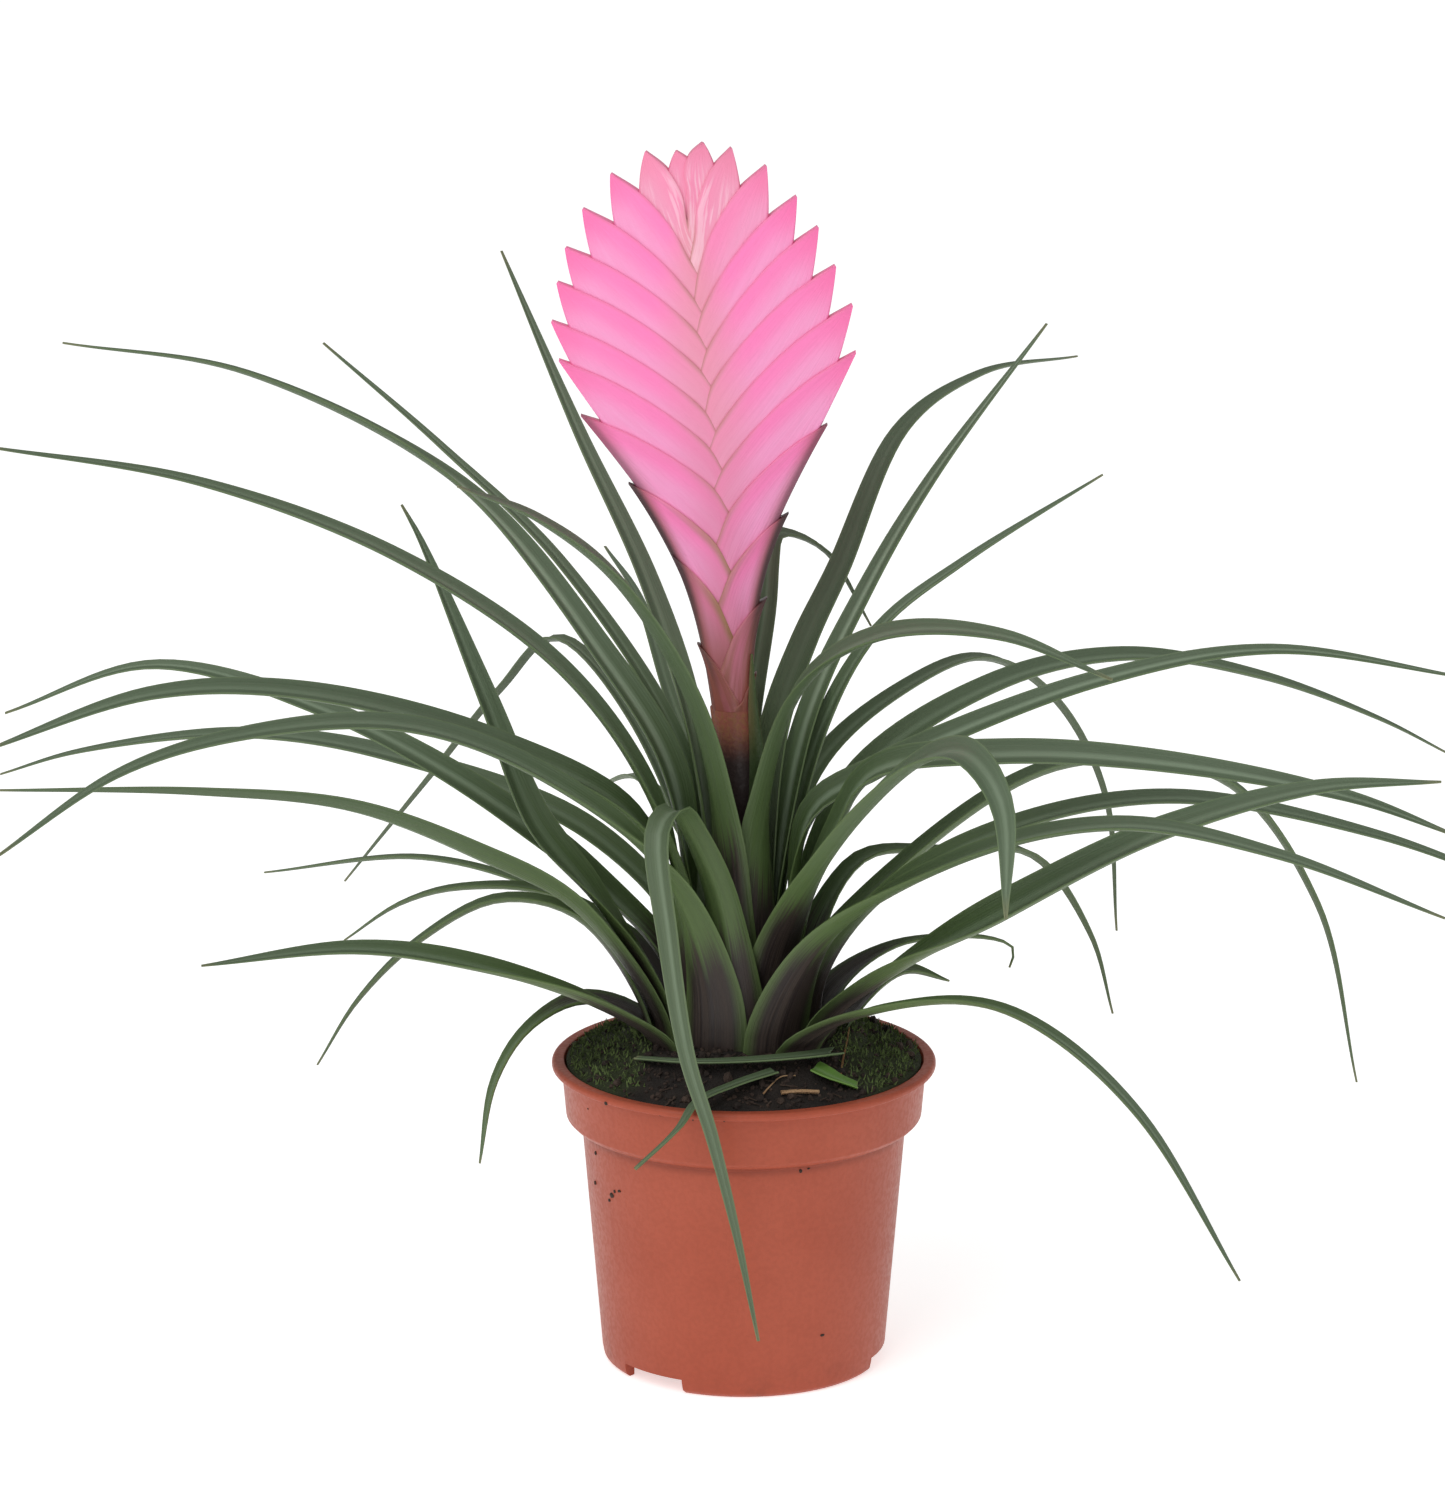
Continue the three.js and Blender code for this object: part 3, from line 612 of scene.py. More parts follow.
class Coat:
    """A material while its colour is laid, wash over wash."""

    def __init__(self, name: str) -> None:
        """Starts the material."""
        self.material = bpy.data.materials.new(name)
        self.material.use_nodes = True
        self.shader = self.material.node_tree.nodes["Principled BSDF"]
        self.plan = NodePlan(self.material.node_tree)
        self.measures: dict[Over, Shader] = {}
        self.colour: Shader = WHITE

    def fibred(
        self, patterns: Patterns, lines_across: float, breaks_along: float, shift: Shader
    ) -> None:
        """Takes the measures of a leaf from its own map and the pattern of its lines.

        Args:
            patterns: The shared node groups.
            lines_across: How fine the lines are across the leaf.
            breaks_along: How often they change along it.
            shift: What sets one leaf's pattern apart from the next.
        """
        place, across, along = self.plan.blade_place()
        inputs = {
            "Place": place,
            "Lines across": lines_across,
            "Breaks along": breaks_along,
            "Shift": shift,
        }
        fibres = self.plan.group(patterns.fibres, inputs)
        centred = self.plan.math("MULTIPLY", self.plan.math("SUBTRACT", across, 0.5), 2.0)
        self.measures |= {
            Over.ALONG: along,
            Over.SIDEWAYS: self.plan.math("ABSOLUTE", centred),
            Over.LINES: fibres["Lines"],
            Over.PATCHES: fibres["Patches"],
        }

    def mottled(self, patterns: Patterns, patch_scale: float, grain_scale: float) -> None:
        """Takes patches and grain from the place on the object.

        Args:
            patterns: The shared node groups.
            patch_scale: How small the patches are.
            grain_scale: How fine the grain is.
        """
        inputs = {
            "Place": self.plan.object_place(),
            "Patch scale": patch_scale,
            "Grain scale": grain_scale,
        }
        mottle = self.plan.group(patterns.mottle, inputs)
        self.measures |= {Over.PATCHES: mottle["Patches"], Over.GRAIN: mottle["Grain"]}

    def read(self, over: Over) -> Shader:
        """Gives a measure, from the mesh if the material hasn't set it."""
        if over not in self.measures:
            is_height = over is Over.HEIGHT
            plan = self.plan
            self.measures[over] = plan.height() if is_height else plan.attribute(over.value)
        return self.measures[over]

    def mask(self, mask: Ramp | Over) -> Shader:
        """Gives a mask, which is a ramp over a measure or the measure itself."""
        if isinstance(mask, Over):
            return self.read(mask)
        return self.plan.rise(self.read(mask.over), mask.band, mask.first, mask.last)

    def blend(self, share: Ramp, first: Rgb, second: Rgb) -> Shader:
        """Mixes two screen colours by a ramp."""
        return self.plan.mix(self.mask(share), linear(first), linear(second))

    def lay(self, washes: Sequence[Wash]) -> None:
        """Lays washes over the colour, in order."""
        for wash in washes:
            share = self.plan.product(wash.share, *(self.mask(mask) for mask in wash.masks))
            self.colour = self.plan.mix(share, self.colour, linear(wash.tone), wash.name)

    def finish(self, rough: Ramp, relief: Relief, gloss: float) -> bpy.types.Material:
        """Wires the colour, the roughness and the normal to the shader.

        Args:
            rough: The roughness, as a ramp over a measure.
            relief: The bumps.
            gloss: The specular level.

        Returns:
            The finished material.
        """
        bump = self.plan.bump(self.read(relief.over), relief.strength, relief.depth)
        links, inputs = self.plan.tree.links, self.shader.inputs
        links.new(self.colour, inputs["Base Color"])
        links.new(self.mask(rough), inputs["Roughness"])
        links.new(bump, inputs["Normal"])
        inputs["Specular IOR Level"].default_value = gloss
        return self.material


@dataclass(frozen=True)
class PlasticFinish:
    """Satin moulded plastic with soft mottling, a little ground-in dirt and shade under the collar.

    Levels are above the table, and those of the shade are measured from the collar's base.
    """

    name: str = "terracotta plastic"
    body: Rgb = (165, 78, 56)
    light: Rgb = (172, 84, 62)
    dirt: Rgb = (112, 60, 46)
    shade: Rgb = (118, 54, 40)
    collar_base: float = 0.0585
    shade_start: Band = (-0.0035, -0.0008)
    shade_end: Band = (-0.0004, 0.0004)
    shade_share: float = 0.6
    patch_scale: float = 38.0
    grain_scale: float = 900.0
    smudge_scale: float = 120.0
    smudge_detail: float = 3.0
    washes: tuple[Wash, ...] = (
        Wash("ground-in dirt", dirt, 0.12, (Over.GRAIN,)),
        Wash("dirt near the table", dirt, 0.35, (
            fading(Over.HEIGHT, (0.0, 0.012)), Ramp(Over.SMUDGES, (0.5, 0.75)),
        )),
    )
    rough: Ramp = Ramp(Over.GRAIN, (0.0, 1.0), 0.37, 0.49)
    relief: Relief = Relief(Over.GRAIN, 0.12, 0.0002)
    gloss: float = 0.22

    def from_collar(self, band: Band) -> Band:
        """Gives the levels of a band that is measured from the collar's base."""
        return self.collar_base + band[0], self.collar_base + band[1]

    def material(self, patterns: Patterns) -> bpy.types.Material:
        """Builds the material.

        Args:
            patterns: The shared node groups.

        Returns:
            The material.
        """
        coat = Coat(self.name)
        coat.mottled(patterns, self.patch_scale, self.grain_scale)
        coat.measures[Over.SMUDGES] = coat.plan.noise(
            coat.plan.object_place(), self.smudge_scale, self.smudge_detail
        )
        patches = coat.read(Over.PATCHES)
        coat.colour = coat.plan.mix(patches, linear(self.body), linear(self.light))
        coat.lay(self.washes)
        under_collar = (
            Ramp(Over.HEIGHT, self.from_collar(self.shade_start)),
            fading(Over.HEIGHT, self.from_collar(self.shade_end)),
        )
        coat.lay([Wash("shade under the collar", self.shade, self.shade_share, under_collar)])
        return coat.finish(self.rough, self.relief, self.gloss)


@dataclass(frozen=True)
class GroundFinish:
    """Damp peat, crumbs, moss and bits of bark: broken matt colours."""

    name: str
    dark: Rgb
    light: Rgb
    patch_scale: float = 260.0
    grain_scale: float = 1800.0
    patch_share: float = 0.5
    tone_share: float = 0.6
    rough: Ramp = Ramp(Over.GRAIN, (0.0, 1.0), 0.75, 0.95)
    relief: Relief = Relief(Over.GRAIN, 0.5, 0.0006)
    gloss: float = 0.25
    washes: tuple[Wash, ...] = ()

    def material(self, patterns: Patterns) -> bpy.types.Material:
        """Builds the material. The tone attribute brightens single crumbs and tufts.

        Args:
            patterns: The shared node groups.

        Returns:
            The material.
        """
        coat = Coat(self.name)
        coat.mottled(patterns, self.patch_scale, self.grain_scale)
        plan = coat.plan
        patches = plan.product(coat.read(Over.PATCHES), self.patch_share)
        share = plan.math("ADD", patches, plan.product(coat.read(Over.TONE), self.tone_share))
        coat.colour = plan.mix(share, linear(self.dark), linear(self.light))
        coat.lay(self.washes)
        return coat.finish(self.rough, self.relief, self.gloss)


@dataclass(frozen=True)
class LeafFinish:
    """A leaf: green blade with fine lines and pale scurf, dark sheath and dry tip.

    The green changes up the blade over a band of distances from the foot. The sheath's dark fades
    out just short of its end, which has short teeth, and its margins stay green.
    """

    name: str = "leaf"
    under_low: Rgb = (84, 106, 56)
    under_high: Rgb = (78, 98, 62)
    upper_low: Rgb = (78, 100, 54)
    upper_high: Rgb = (88, 106, 80)
    deep: Rgb = (54, 70, 44)
    sheath: Rgb = (44, 37, 36)
    sheath_line: Rgb = (64, 54, 48)
    lines_across: float = 34.0
    breaks_along: float = 5.0
    shift_by_tone: float = 37.0
    high_from: Band = (0.035, 0.13)
    washes: tuple[Wash, ...] = (
        Wash("deeper leaves", deep, 0.75, (Ramp(Over.TONE, (0.5, 1.0)),)),
        Wash("bleached end", (84, 100, 72), 1.0, (Over.PALE,)),
        Wash("fresh cut leaf", (96, 140, 48), 1.0, (Over.FRESH,)),
        Wash("scurf", (116, 130, 108), 1.0, (
            Over.LINES, Ramp(Over.BLADE, (0.0, 1.0), 0.08, 0.3),
        )),
        Wash("shaded patches", deep, 0.25, (Over.PATCHES,)),
        Wash("margin", (112, 132, 82), 0.28, (Ramp(Over.SIDEWAYS, (0.88, 0.99)),)),
        # painted highlight: a pale band down the middle of each leaf's upper face, where light
        # catches the channel, as bright as the leaf's own attribute sets
        Wash("streak down the channel", (150, 168, 142), 1.0, (
            fading(Over.SIDEWAYS, (0.0, 0.42)), Over.FACING, Over.CHANNEL_HIGHLIGHT,
        )),
    )
    tip: Wash = Wash("dry tip", (132, 128, 92), 0.5, (Ramp(Over.ALONG, (0.965, 0.998)),))
    sheath_teeth: float = 0.009
    sheath_fade: float = 0.013
    sheath_edge: Ramp = fading(Over.SIDEWAYS, (0.56, 0.96), 0.2)
    rough: Ramp = Ramp(Over.LINES, (0.0, 1.0), 0.4, 0.56)
    relief: Relief = Relief(Over.LINES, 0.28, 0.0003)
    gloss: float = 0.4

    def material(self, patterns: Patterns) -> bpy.types.Material:
        """Builds the material from the attributes that each leaf carries.

        Args:
            patterns: The shared node groups.

        Returns:
            The material.
        """
        coat = Coat(self.name)
        plan = coat.plan
        shift = plan.product(coat.read(Over.TONE), self.shift_by_tone)
        coat.fibred(patterns, self.lines_across, self.breaks_along, shift)
        from_foot = plan.attribute("foot_distance")
        high = plan.rise(from_foot, self.high_from)
        coat.measures[Over.BLADE] = high
        under = plan.mix(high, linear(self.under_low), linear(self.under_high))
        over = plan.mix(high, linear(self.upper_low), linear(self.upper_high))
        coat.colour = plan.mix(coat.read(Over.FACING), under, over)
        coat.lay(self.washes)
        self.darken_sheath(coat, from_foot)
        coat.lay([self.tip])
        return coat.finish(self.rough, self.relief, self.gloss)

    def darken_sheath(self, coat: Coat, from_foot: Shader) -> None:
        """Darkens the sheath between its green margins, up to a toothed end.

        Args:
            coat: The leaf's coat.
            from_foot: The distance from the foot.
        """
        plan, lines = coat.plan, coat.read(Over.LINES)
        teeth = plan.product(lines, self.sheath_teeth)
        end = plan.math("ADD", plan.attribute("sheath"), teeth)
        start = plan.math("SUBTRACT", end, self.sheath_fade)
        dark = plan.rise(from_foot, (start, end), 1.0, 0.0)
        brown = plan.mix(lines, linear(self.sheath), linear(self.sheath_line))
        share = plan.product(dark, coat.mask(self.sheath_edge))
        coat.colour = plan.mix(share, coat.colour, brown)


COVERED = fading(Over.ALONG, (0.08, 0.45))
BLOTCHES = Ramp(Over.PATCHES, (0.2, 0.7), 0.35, 1.0)
LOW_LEVELS = fading(Over.LEVEL, (0.46, 0.64))


@dataclass(frozen=True)
class BractFinish:
    """A waxy bract: hot pink under its free edge, paler lower down, brown at the spike's foot.

    Levels go from 0 for the lowest bract to 1 for the top one. Bands along go from a bract's foot
    to its tip, and the others are distances from its keel or its free edge.
    """

    name: str = "bract"
    hot: Rgb = (253, 130, 190)
    pale: Rgb = (246, 158, 204)
    peach: Rgb = (232, 156, 168)
    olive: Rgb = (150, 122, 76)
    dusky: Rgb = (212, 118, 146)
    brown: Rgb = (72, 44, 48)
    paler: Ramp = Ramp(Over.FROM_EDGE, (0.0016, 0.0075))
    lines_across: float = 16.0
    breaks_along: float = 2.5
    shift_by_level: float = 53.0
    washes: tuple[Wash, ...] = (
        Wash("pale foot", pale, 0.4, (fading(Over.ALONG, (0.0, 0.5)),)),
        Wash("hot tip", (250, 112, 172), 0.75, (Ramp(Over.ALONG, (0.72, 1.0)),)),
        Wash("veins", (244, 124, 180), 0.16, (Over.LINES,)),
        Wash("peach feet", peach, 0.6, (Ramp(Over.LEVEL, (0.5, 0.85)), COVERED)),
        Wash("peach top", peach, 0.5, (Ramp(Over.LEVEL, (0.94, 0.99)),)),
        # painted shade: darker pink on the covered feet of the bracts, near the midline where each
        # tucks under the free edge of the one below
        Wash("dusky feet", dusky, 1.0, (COVERED, Ramp(Over.LEVEL, (0.55, 0.8), 0.45, 0.1))),
        Wash("sheen of the crown", (255, 222, 234), 0.4, (
            Ramp(Over.LEVEL, (0.97, 0.99)),
            fading(Over.ALONG, (0.6, 0.85)),
            Ramp(Over.LINES, (0.35, 0.8)),
        )),
        # painted shade: a thin darker pink line along each bract's free edge, where it overlaps the
        # bract beyond
        Wash("free edge", (222, 128, 152), 0.4, (fading(Over.FROM_EDGE, (0.0, 0.0008)),)),
        Wash("olive line at the axis", olive, 0.45, (
            COVERED, fading(Over.FROM_EDGE, (0.0, 0.0016)),
        )),
        Wash("dusky low bracts", dusky, 0.55, (fading(Over.LEVEL, (0.14, 0.5)),)),
        Wash("olive bands", olive, 0.85, (
            fading(Over.LEVEL, (0.3, 0.68)),
            BLOTCHES,
            fading(Over.FROM_EDGE, (0.0006, 0.0034)),
            fading(Over.ALONG, (0.3, 0.8), 0.25),
        )),
        Wash("olive low bracts", olive, 0.75, (fading(Over.LEVEL, (0.18, 0.38)), BLOTCHES)),
        Wash("rusty keels", (160, 88, 92), 0.8, (
            LOW_LEVELS, fading(Over.FROM_KEEL, (0.002, 0.0065)),
        )),
        Wash("brown keels", brown, 1.0, (LOW_LEVELS, fading(Over.FROM_KEEL, (0.001, 0.0035)))),
        Wash("brown low tips", brown, 1.0, (
            fading(Over.LEVEL, (0.34, 0.42)), Ramp(Over.ALONG, (0.88, 0.97)),
        )),
        Wash("brown foot of the spike", (146, 82, 70), 1.0, (
            fading(Over.HEIGHT, (0.158, 0.19)), Ramp(Over.PATCHES, (0.1, 0.7), 0.55, 1.0),
        )),
    )
    rough: Ramp = Ramp(Over.PATCHES, (0.0, 1.0), 0.35, 0.48)
    relief: Relief = Relief(Over.LINES, 0.2, 0.0004)
    gloss: float = 0.4

    def material(self, patterns: Patterns) -> bpy.types.Material:
        """Builds the material from the attributes that each bract carries.

        Args:
            patterns: The shared node groups.

        Returns:
            The material.
        """
        coat = Coat(self.name)
        shift = coat.plan.product(coat.read(Over.LEVEL), self.shift_by_level)
        coat.fibred(patterns, self.lines_across, self.breaks_along, shift)
        coat.colour = coat.blend(self.paler, self.hot, self.pale)
        coat.lay(self.washes)
        return coat.finish(self.rough, self.relief, self.gloss)


@dataclass(frozen=True)
class StemFinish:
    """The flower stalk: dark purple-brown low down, rust and green under the spike."""

    name: str = "flower stalk"
    low: Rgb = (52, 42, 42)
    rust: Rgb = (160, 92, 76)
    rusty: Ramp = Ramp(Over.HEIGHT, (0.1445, 0.156))
    patch_scale: float = 140.0
    grain_scale: float = 1100.0
    washes: tuple[Wash, ...] = (
        Wash("brown patches", (62, 46, 42), 0.35, (Over.PATCHES,)),
        Wash("olive grain", (140, 108, 60), 0.35, (
            Ramp(Over.GRAIN, (0.2, 0.8)), Ramp(Over.HEIGHT, (0.146, 0.155)),
        )),
        Wash("green bracts", (66, 88, 48), 1.0, (Over.GREEN,)),
    )
    rough: Ramp = Ramp(Over.GRAIN, (0.0, 1.0), 0.42, 0.6)
    relief: Relief = Relief(Over.GRAIN, 0.25, 0.0003)
    gloss: float = 0.35

    def material(self, patterns: Patterns) -> bpy.types.Material:
        """Builds the material.

        Args:
            patterns: The shared node groups.

        Returns:
            The material.
        """
        coat = Coat(self.name)
        coat.mottled(patterns, self.patch_scale, self.grain_scale)
        coat.colour = coat.blend(self.rusty, self.low, self.rust)
        coat.lay(self.washes)
        return coat.finish(self.rough, self.relief, self.gloss)


def scratch_object(name: str, bm: bmesh.types.BMesh) -> bpy.types.Object:
    """Makes a helper object that is removed once it has been used."""
    mesh = bpy.data.meshes.new(name)
    bm.to_mesh(mesh)
    bm.free()
    helper = bpy.data.objects.new(name, mesh)
    bpy.context.scene.collection.objects.link(helper)
    return helper


def join(bm: bmesh.types.BMesh, part: bmesh.types.BMesh) -> None:
    """Adds a part to a mesh and frees the part."""
    mesh = bpy.data.meshes.new("part")
    part.to_mesh(mesh)
    part.free()
    bm.from_mesh(mesh)
    bpy.data.meshes.remove(mesh)


def tilted(x: float, y: float, z: float) -> Matrix:
    """Gives the turn by three angles about the axes, in radians."""
    return Euler((x, y, z)).to_matrix().to_4x4()


def shifted(x: float, y: float, z: float) -> Matrix:
    """Gives the move to a place."""
    return Matrix.Translation((x, y, z))


def scaled(x: float, y: float, z: float) -> Matrix:
    """Gives the stretch to three sizes."""
    return Matrix.Diagonal((x, y, z, 1.0))


def new_scatter() -> tuple[bmesh.types.BMesh, bmesh.types.BMLayerItem]:
    """Starts a mesh for scattered things, with a layer for the tone of each."""
    bm = bmesh.new()
    return bm, bm.verts.layers.float.new("tone")


def shade_all(
    made: dict[str, list[bmesh.types.BMVert]], layer: bmesh.types.BMLayerItem, tone: float
) -> None:
    """Gives one tone to all the points of a thing that was just made."""
    for vert in made["verts"]:
        vert[layer] = tone


@dataclass(frozen=True)
class Pot:
    """The nursery pot: deep stepped collar, tapered body, raised floor, notched foot ring."""

    height: float = 0.073
    rim_radius: float = 0.045
    rim_thickness: float = 0.0016
    collar_height: float = 0.0145
    collar_radius_top: float = 0.0427
    collar_radius_bottom: float = 0.0417
    body_radius_top: float = 0.038
    body_radius_bottom: float = 0.0334
    foot_radius: float = 0.0319
    foot_width: float = 0.0016
    foot_round: float = 0.003
    shoulder_round: float = 0.0012
    rim_round: float = 0.0006
    floor_underside: float = 0.004
    wall: float = 0.0012
    notch_count: int = 3
    notch_first_deg: float = -131.0
    notch_arc_deg: float = 32.0
    notch_height: float = 0.0036
    notch_depth: float = 0.012
    drain_radius: float = 0.003
    drain_ring: float = 0.024
    drain_steps: int = 32
    steps: int = 168
    least_edge_deg: float = 20.0
    edge_round: float = 0.0003

    def outside_radius(self, height: float) -> float:
        """Gives the radius of the outer wall at a height."""
        collar_base = self.height - self.collar_height
        return between(height, (
            (0.0, self.foot_radius),
            (self.foot_round, self.body_radius_bottom),
            (collar_base - self.shoulder_round, self.body_radius_top),
            (collar_base + self.shoulder_round, self.collar_radius_bottom),
            (self.height - self.rim_thickness - self.rim_round, self.collar_radius_top),
            (self.height - self.rim_thickness, self.rim_radius),
        ))

    def profile(self) -> list[Pair]:
        """Lists the section from the axis below the floor, up the outside and back inside."""
        collar_base = self.height - self.collar_height
        inside_floor = self.floor_underside + self.wall
        return [
            (0.0, self.floor_underside),
            (self.foot_radius - self.foot_width, self.floor_underside),
            (self.foot_radius - self.foot_width, 0.0),
            (self.foot_radius, 0.0),
            (lerp(self.foot_radius, self.body_radius_bottom, 0.75), self.foot_round / 3.0),
            (self.body_radius_bottom, self.foot_round),
            (self.body_radius_top, collar_base - self.shoulder_round),
            (self.collar_radius_bottom - self.shoulder_round, collar_base),
            (self.collar_radius_bottom, collar_base + self.shoulder_round),
            (self.collar_radius_top, self.height - self.rim_thickness - self.rim_round),
            (self.rim_radius, self.height - self.rim_thickness),
            (self.rim_radius, self.height - self.rim_round),
            (self.rim_radius - self.rim_round, self.height),
            (self.collar_radius_top - self.rim_round, self.height),
            (self.collar_radius_bottom - self.wall, collar_base + self.shoulder_round),
            (self.body_radius_top - self.wall, collar_base - self.shoulder_round / 2.0),
            (self.body_radius_bottom - self.wall, inside_floor),
            (0.0, inside_floor),
        ]

    def cutters(self) -> bmesh.types.BMesh:
        """Builds the blocks and plugs that cut the foot's notches and the drain holes."""
        bm = bmesh.new()
        width = 2.0 * self.foot_radius * math.sin(math.radians(self.notch_arc_deg / 2.0))
        for i in range(self.notch_count):
            bearing = self.notch_first_deg + 360.0 / self.notch_count * i
            turn = Matrix.Rotation(math.radians(bearing), 4, "Z")
            block = scaled(self.notch_depth, width, 2.0 * self.notch_height)
            notch = turn @ shifted(self.foot_radius, 0.0, 0.0) @ block
            bmesh.ops.create_cube(bm, size=1.0, matrix=notch)
            drain = polar(self.drain_ring, bearing, self.floor_underside + 2.0 * self.wall)
            bmesh.ops.create_cone(
                bm,
                cap_ends=True,
                segments=self.drain_steps,
                radius1=self.drain_radius,
                radius2=self.drain_radius,
                depth=4.0 * self.wall,
                matrix=shifted(*drain),
            )
        return bm

    def build(self, material: bpy.types.Material) -> bpy.types.Object:
        """Builds the pot.

        Args:
            material: The plastic.

        Returns:
            The pot's piece.
        """
        bm = turned(self.profile(), self.steps)
        soften(bm, self.least_edge_deg, self.edge_round)
        shell = scratch_object("pot shell", bm)
        cutter = scratch_object("pot cutters", self.cutters())
        cut = shell.modifiers.new("notches", "BOOLEAN")
        cut.operation = "DIFFERENCE"
        cut.solver = "EXACT"
        cut.object = cutter
        finished = bmesh.new()
        finished.from_object(shell, bpy.context.evaluated_depsgraph_get())
        for helper in (shell, cutter):
            bpy.data.objects.remove(helper)
        return make_piece("nursery_pot", finished, material, Slot.POT, "pot", sharp_angle=38.0)


@dataclass(frozen=True)
class Ground:
    """The growing medium, with crumbs of peat and patches of moss.

    A Band is the least and the most of a draw, or where a change starts and ends. Bumps and the
    wander of the moss's border are pairs of a height and a fineness.
    """

    bottom: float = 0.0055
    bottom_radius: float = 0.0319
    collar_foot: Band = (0.0363, 0.0581)
    collar_inside: Band = (0.04, 0.0601)
    edge_radius: float = 0.0416
    slope: tuple[Pair, ...] = (
        (0.0, 0.0795), (0.0262, 0.0795), (0.03, 0.0772), (0.036, 0.0744), (0.0416, 0.0727),
    )
    steps: int = 144
    rings: int = 44
    wall_gap: float = 0.0006
    bumps: tuple[Pair, ...] = ((0.0007, 150.0), (0.0004, 420.0))
    calm_radii: Band = (0.038, 0.0415)
    moss_border: Band = (0.011, 0.018)
    moss_slant: float = 0.45
    moss_wander: Band = (0.005, 130.0)
    moss_cushion: float = 0.0008
    crumbs: int = 1700
    crumb_reach: float = 0.016
    crumbs_off_moss: float = 0.75
    crumb_size: Band = (0.00028, 0.0006)
    crumb_length: Band = (0.8, 1.7)
    crumb_width: Band = (0.7, 1.2)
    crumb_lift: float = 0.2
    lump_share: float = 0.12
    lump_growth: float = 2.1
    fibres: int = 140
    fibre_reach: float = 0.02
    fibres_off_moss: float = 0.6
    fibre_roll: Band = (-0.2, 0.2)
    fibre_pitch: Band = (-0.3, 0.3)
    fibre_length: Band = (0.0015, 0.0045)
    fibre_width: float = 0.0003
    fibre_depth: float = 0.0002
    fibre_lift: float = 0.0004
    fibre_tone: Band = (0.4, 1.3)
    tufts: int = 5600
    tuft_reach: float = 0.019
    tuft_height: Band = (0.0008, 0.0017)
    tuft_growth: float = 0.0012
    tuft_lean: float = 0.45
    tuft_root: float = 0.0003
    tuft_foot: Band = (0.00022, 0.00042)
    tuft_tip: float = 0.00005
    clump_place: float = 0.3
    clump_fineness: float = 260.0
    clump_growth: Band = (0.35, 0.8)
    clump_tone: float = 0.25
    seed: int = 11

    def moss_share(self, x: float, y: float) -> float:
        """Gives how mossy the ground is: bare in front of the plant, mossy at both sides."""
        height, fineness = self.moss_wander
        wander = height * noise.noise(Vector((x, y, 0.0)) * fineness)
        return smoothstep(abs(x) + self.moss_slant * y + wander, *self.moss_border)

    def level(self, x: float, y: float) -> float:
        """Gives the height of the ground at a place."""
        radius = math.hypot(x, y)
        place = Vector((x, y, 0.0))
        lumps = sum(height * noise.noise(place * fineness) for height, fineness in self.bumps)
        cushion = self.moss_cushion * self.moss_share(x, y)
        free = 1.0 - smoothstep(radius, *self.calm_radii)
        return between(radius, self.slope) + free * (lumps + cushion)

    def places(
        self, draw: random.Random, count: int, reach: float, off_moss: float
    ) -> Iterator[Pair]:
        """Draws places on the ground, from a reach out to the pot's wall.

        Args:
            draw: The source of the draws.
            count: How many places are drawn.
            reach: The least distance from the pot's axis.
            off_moss: The share of the places on the moss that are left out.

        Yields:
            Each place that is kept, across and along.
        """
        for _ in range(count):
            most = self.edge_radius - self.wall_gap
            radius = math.sqrt(draw.uniform(reach ** 2, most ** 2))
            angle = draw.uniform(0.0, 2.0 * math.pi)
            x, y = radius * math.cos(angle), radius * math.sin(angle)
            if not off_moss or draw.random() >= off_moss * self.moss_share(x, y):
                yield x, y

    def build_bed(self, material: bpy.types.Material) -> bpy.types.Object:
        """Builds the bed of peat.

        Args:
            material: The peat.

        Returns:
            The bed's piece.
        """
        surface = [self.edge_radius * i / self.rings for i in range(self.rings, -1, -1)]
        profile = [
            (0.0, self.bottom),
            (self.bottom_radius, self.bottom),
            self.collar_foot,
            self.collar_inside,
            *((radius, between(radius, self.slope)) for radius in surface),
        ]
        bm = turned(profile, self.steps)
        moss = bm.verts.layers.float.new("moss")
        lowest = self.slope[-1][1] - 1e-5
        for vert in bm.verts:
            if vert.co.z > lowest:
                vert.co.z = self.level(vert.co.x, vert.co.y)
                vert[moss] = self.moss_share(vert.co.x, vert.co.y)
        return make_piece("growing_medium", bm, material, Slot.SOIL, "soil", sharp_angle=80.0)

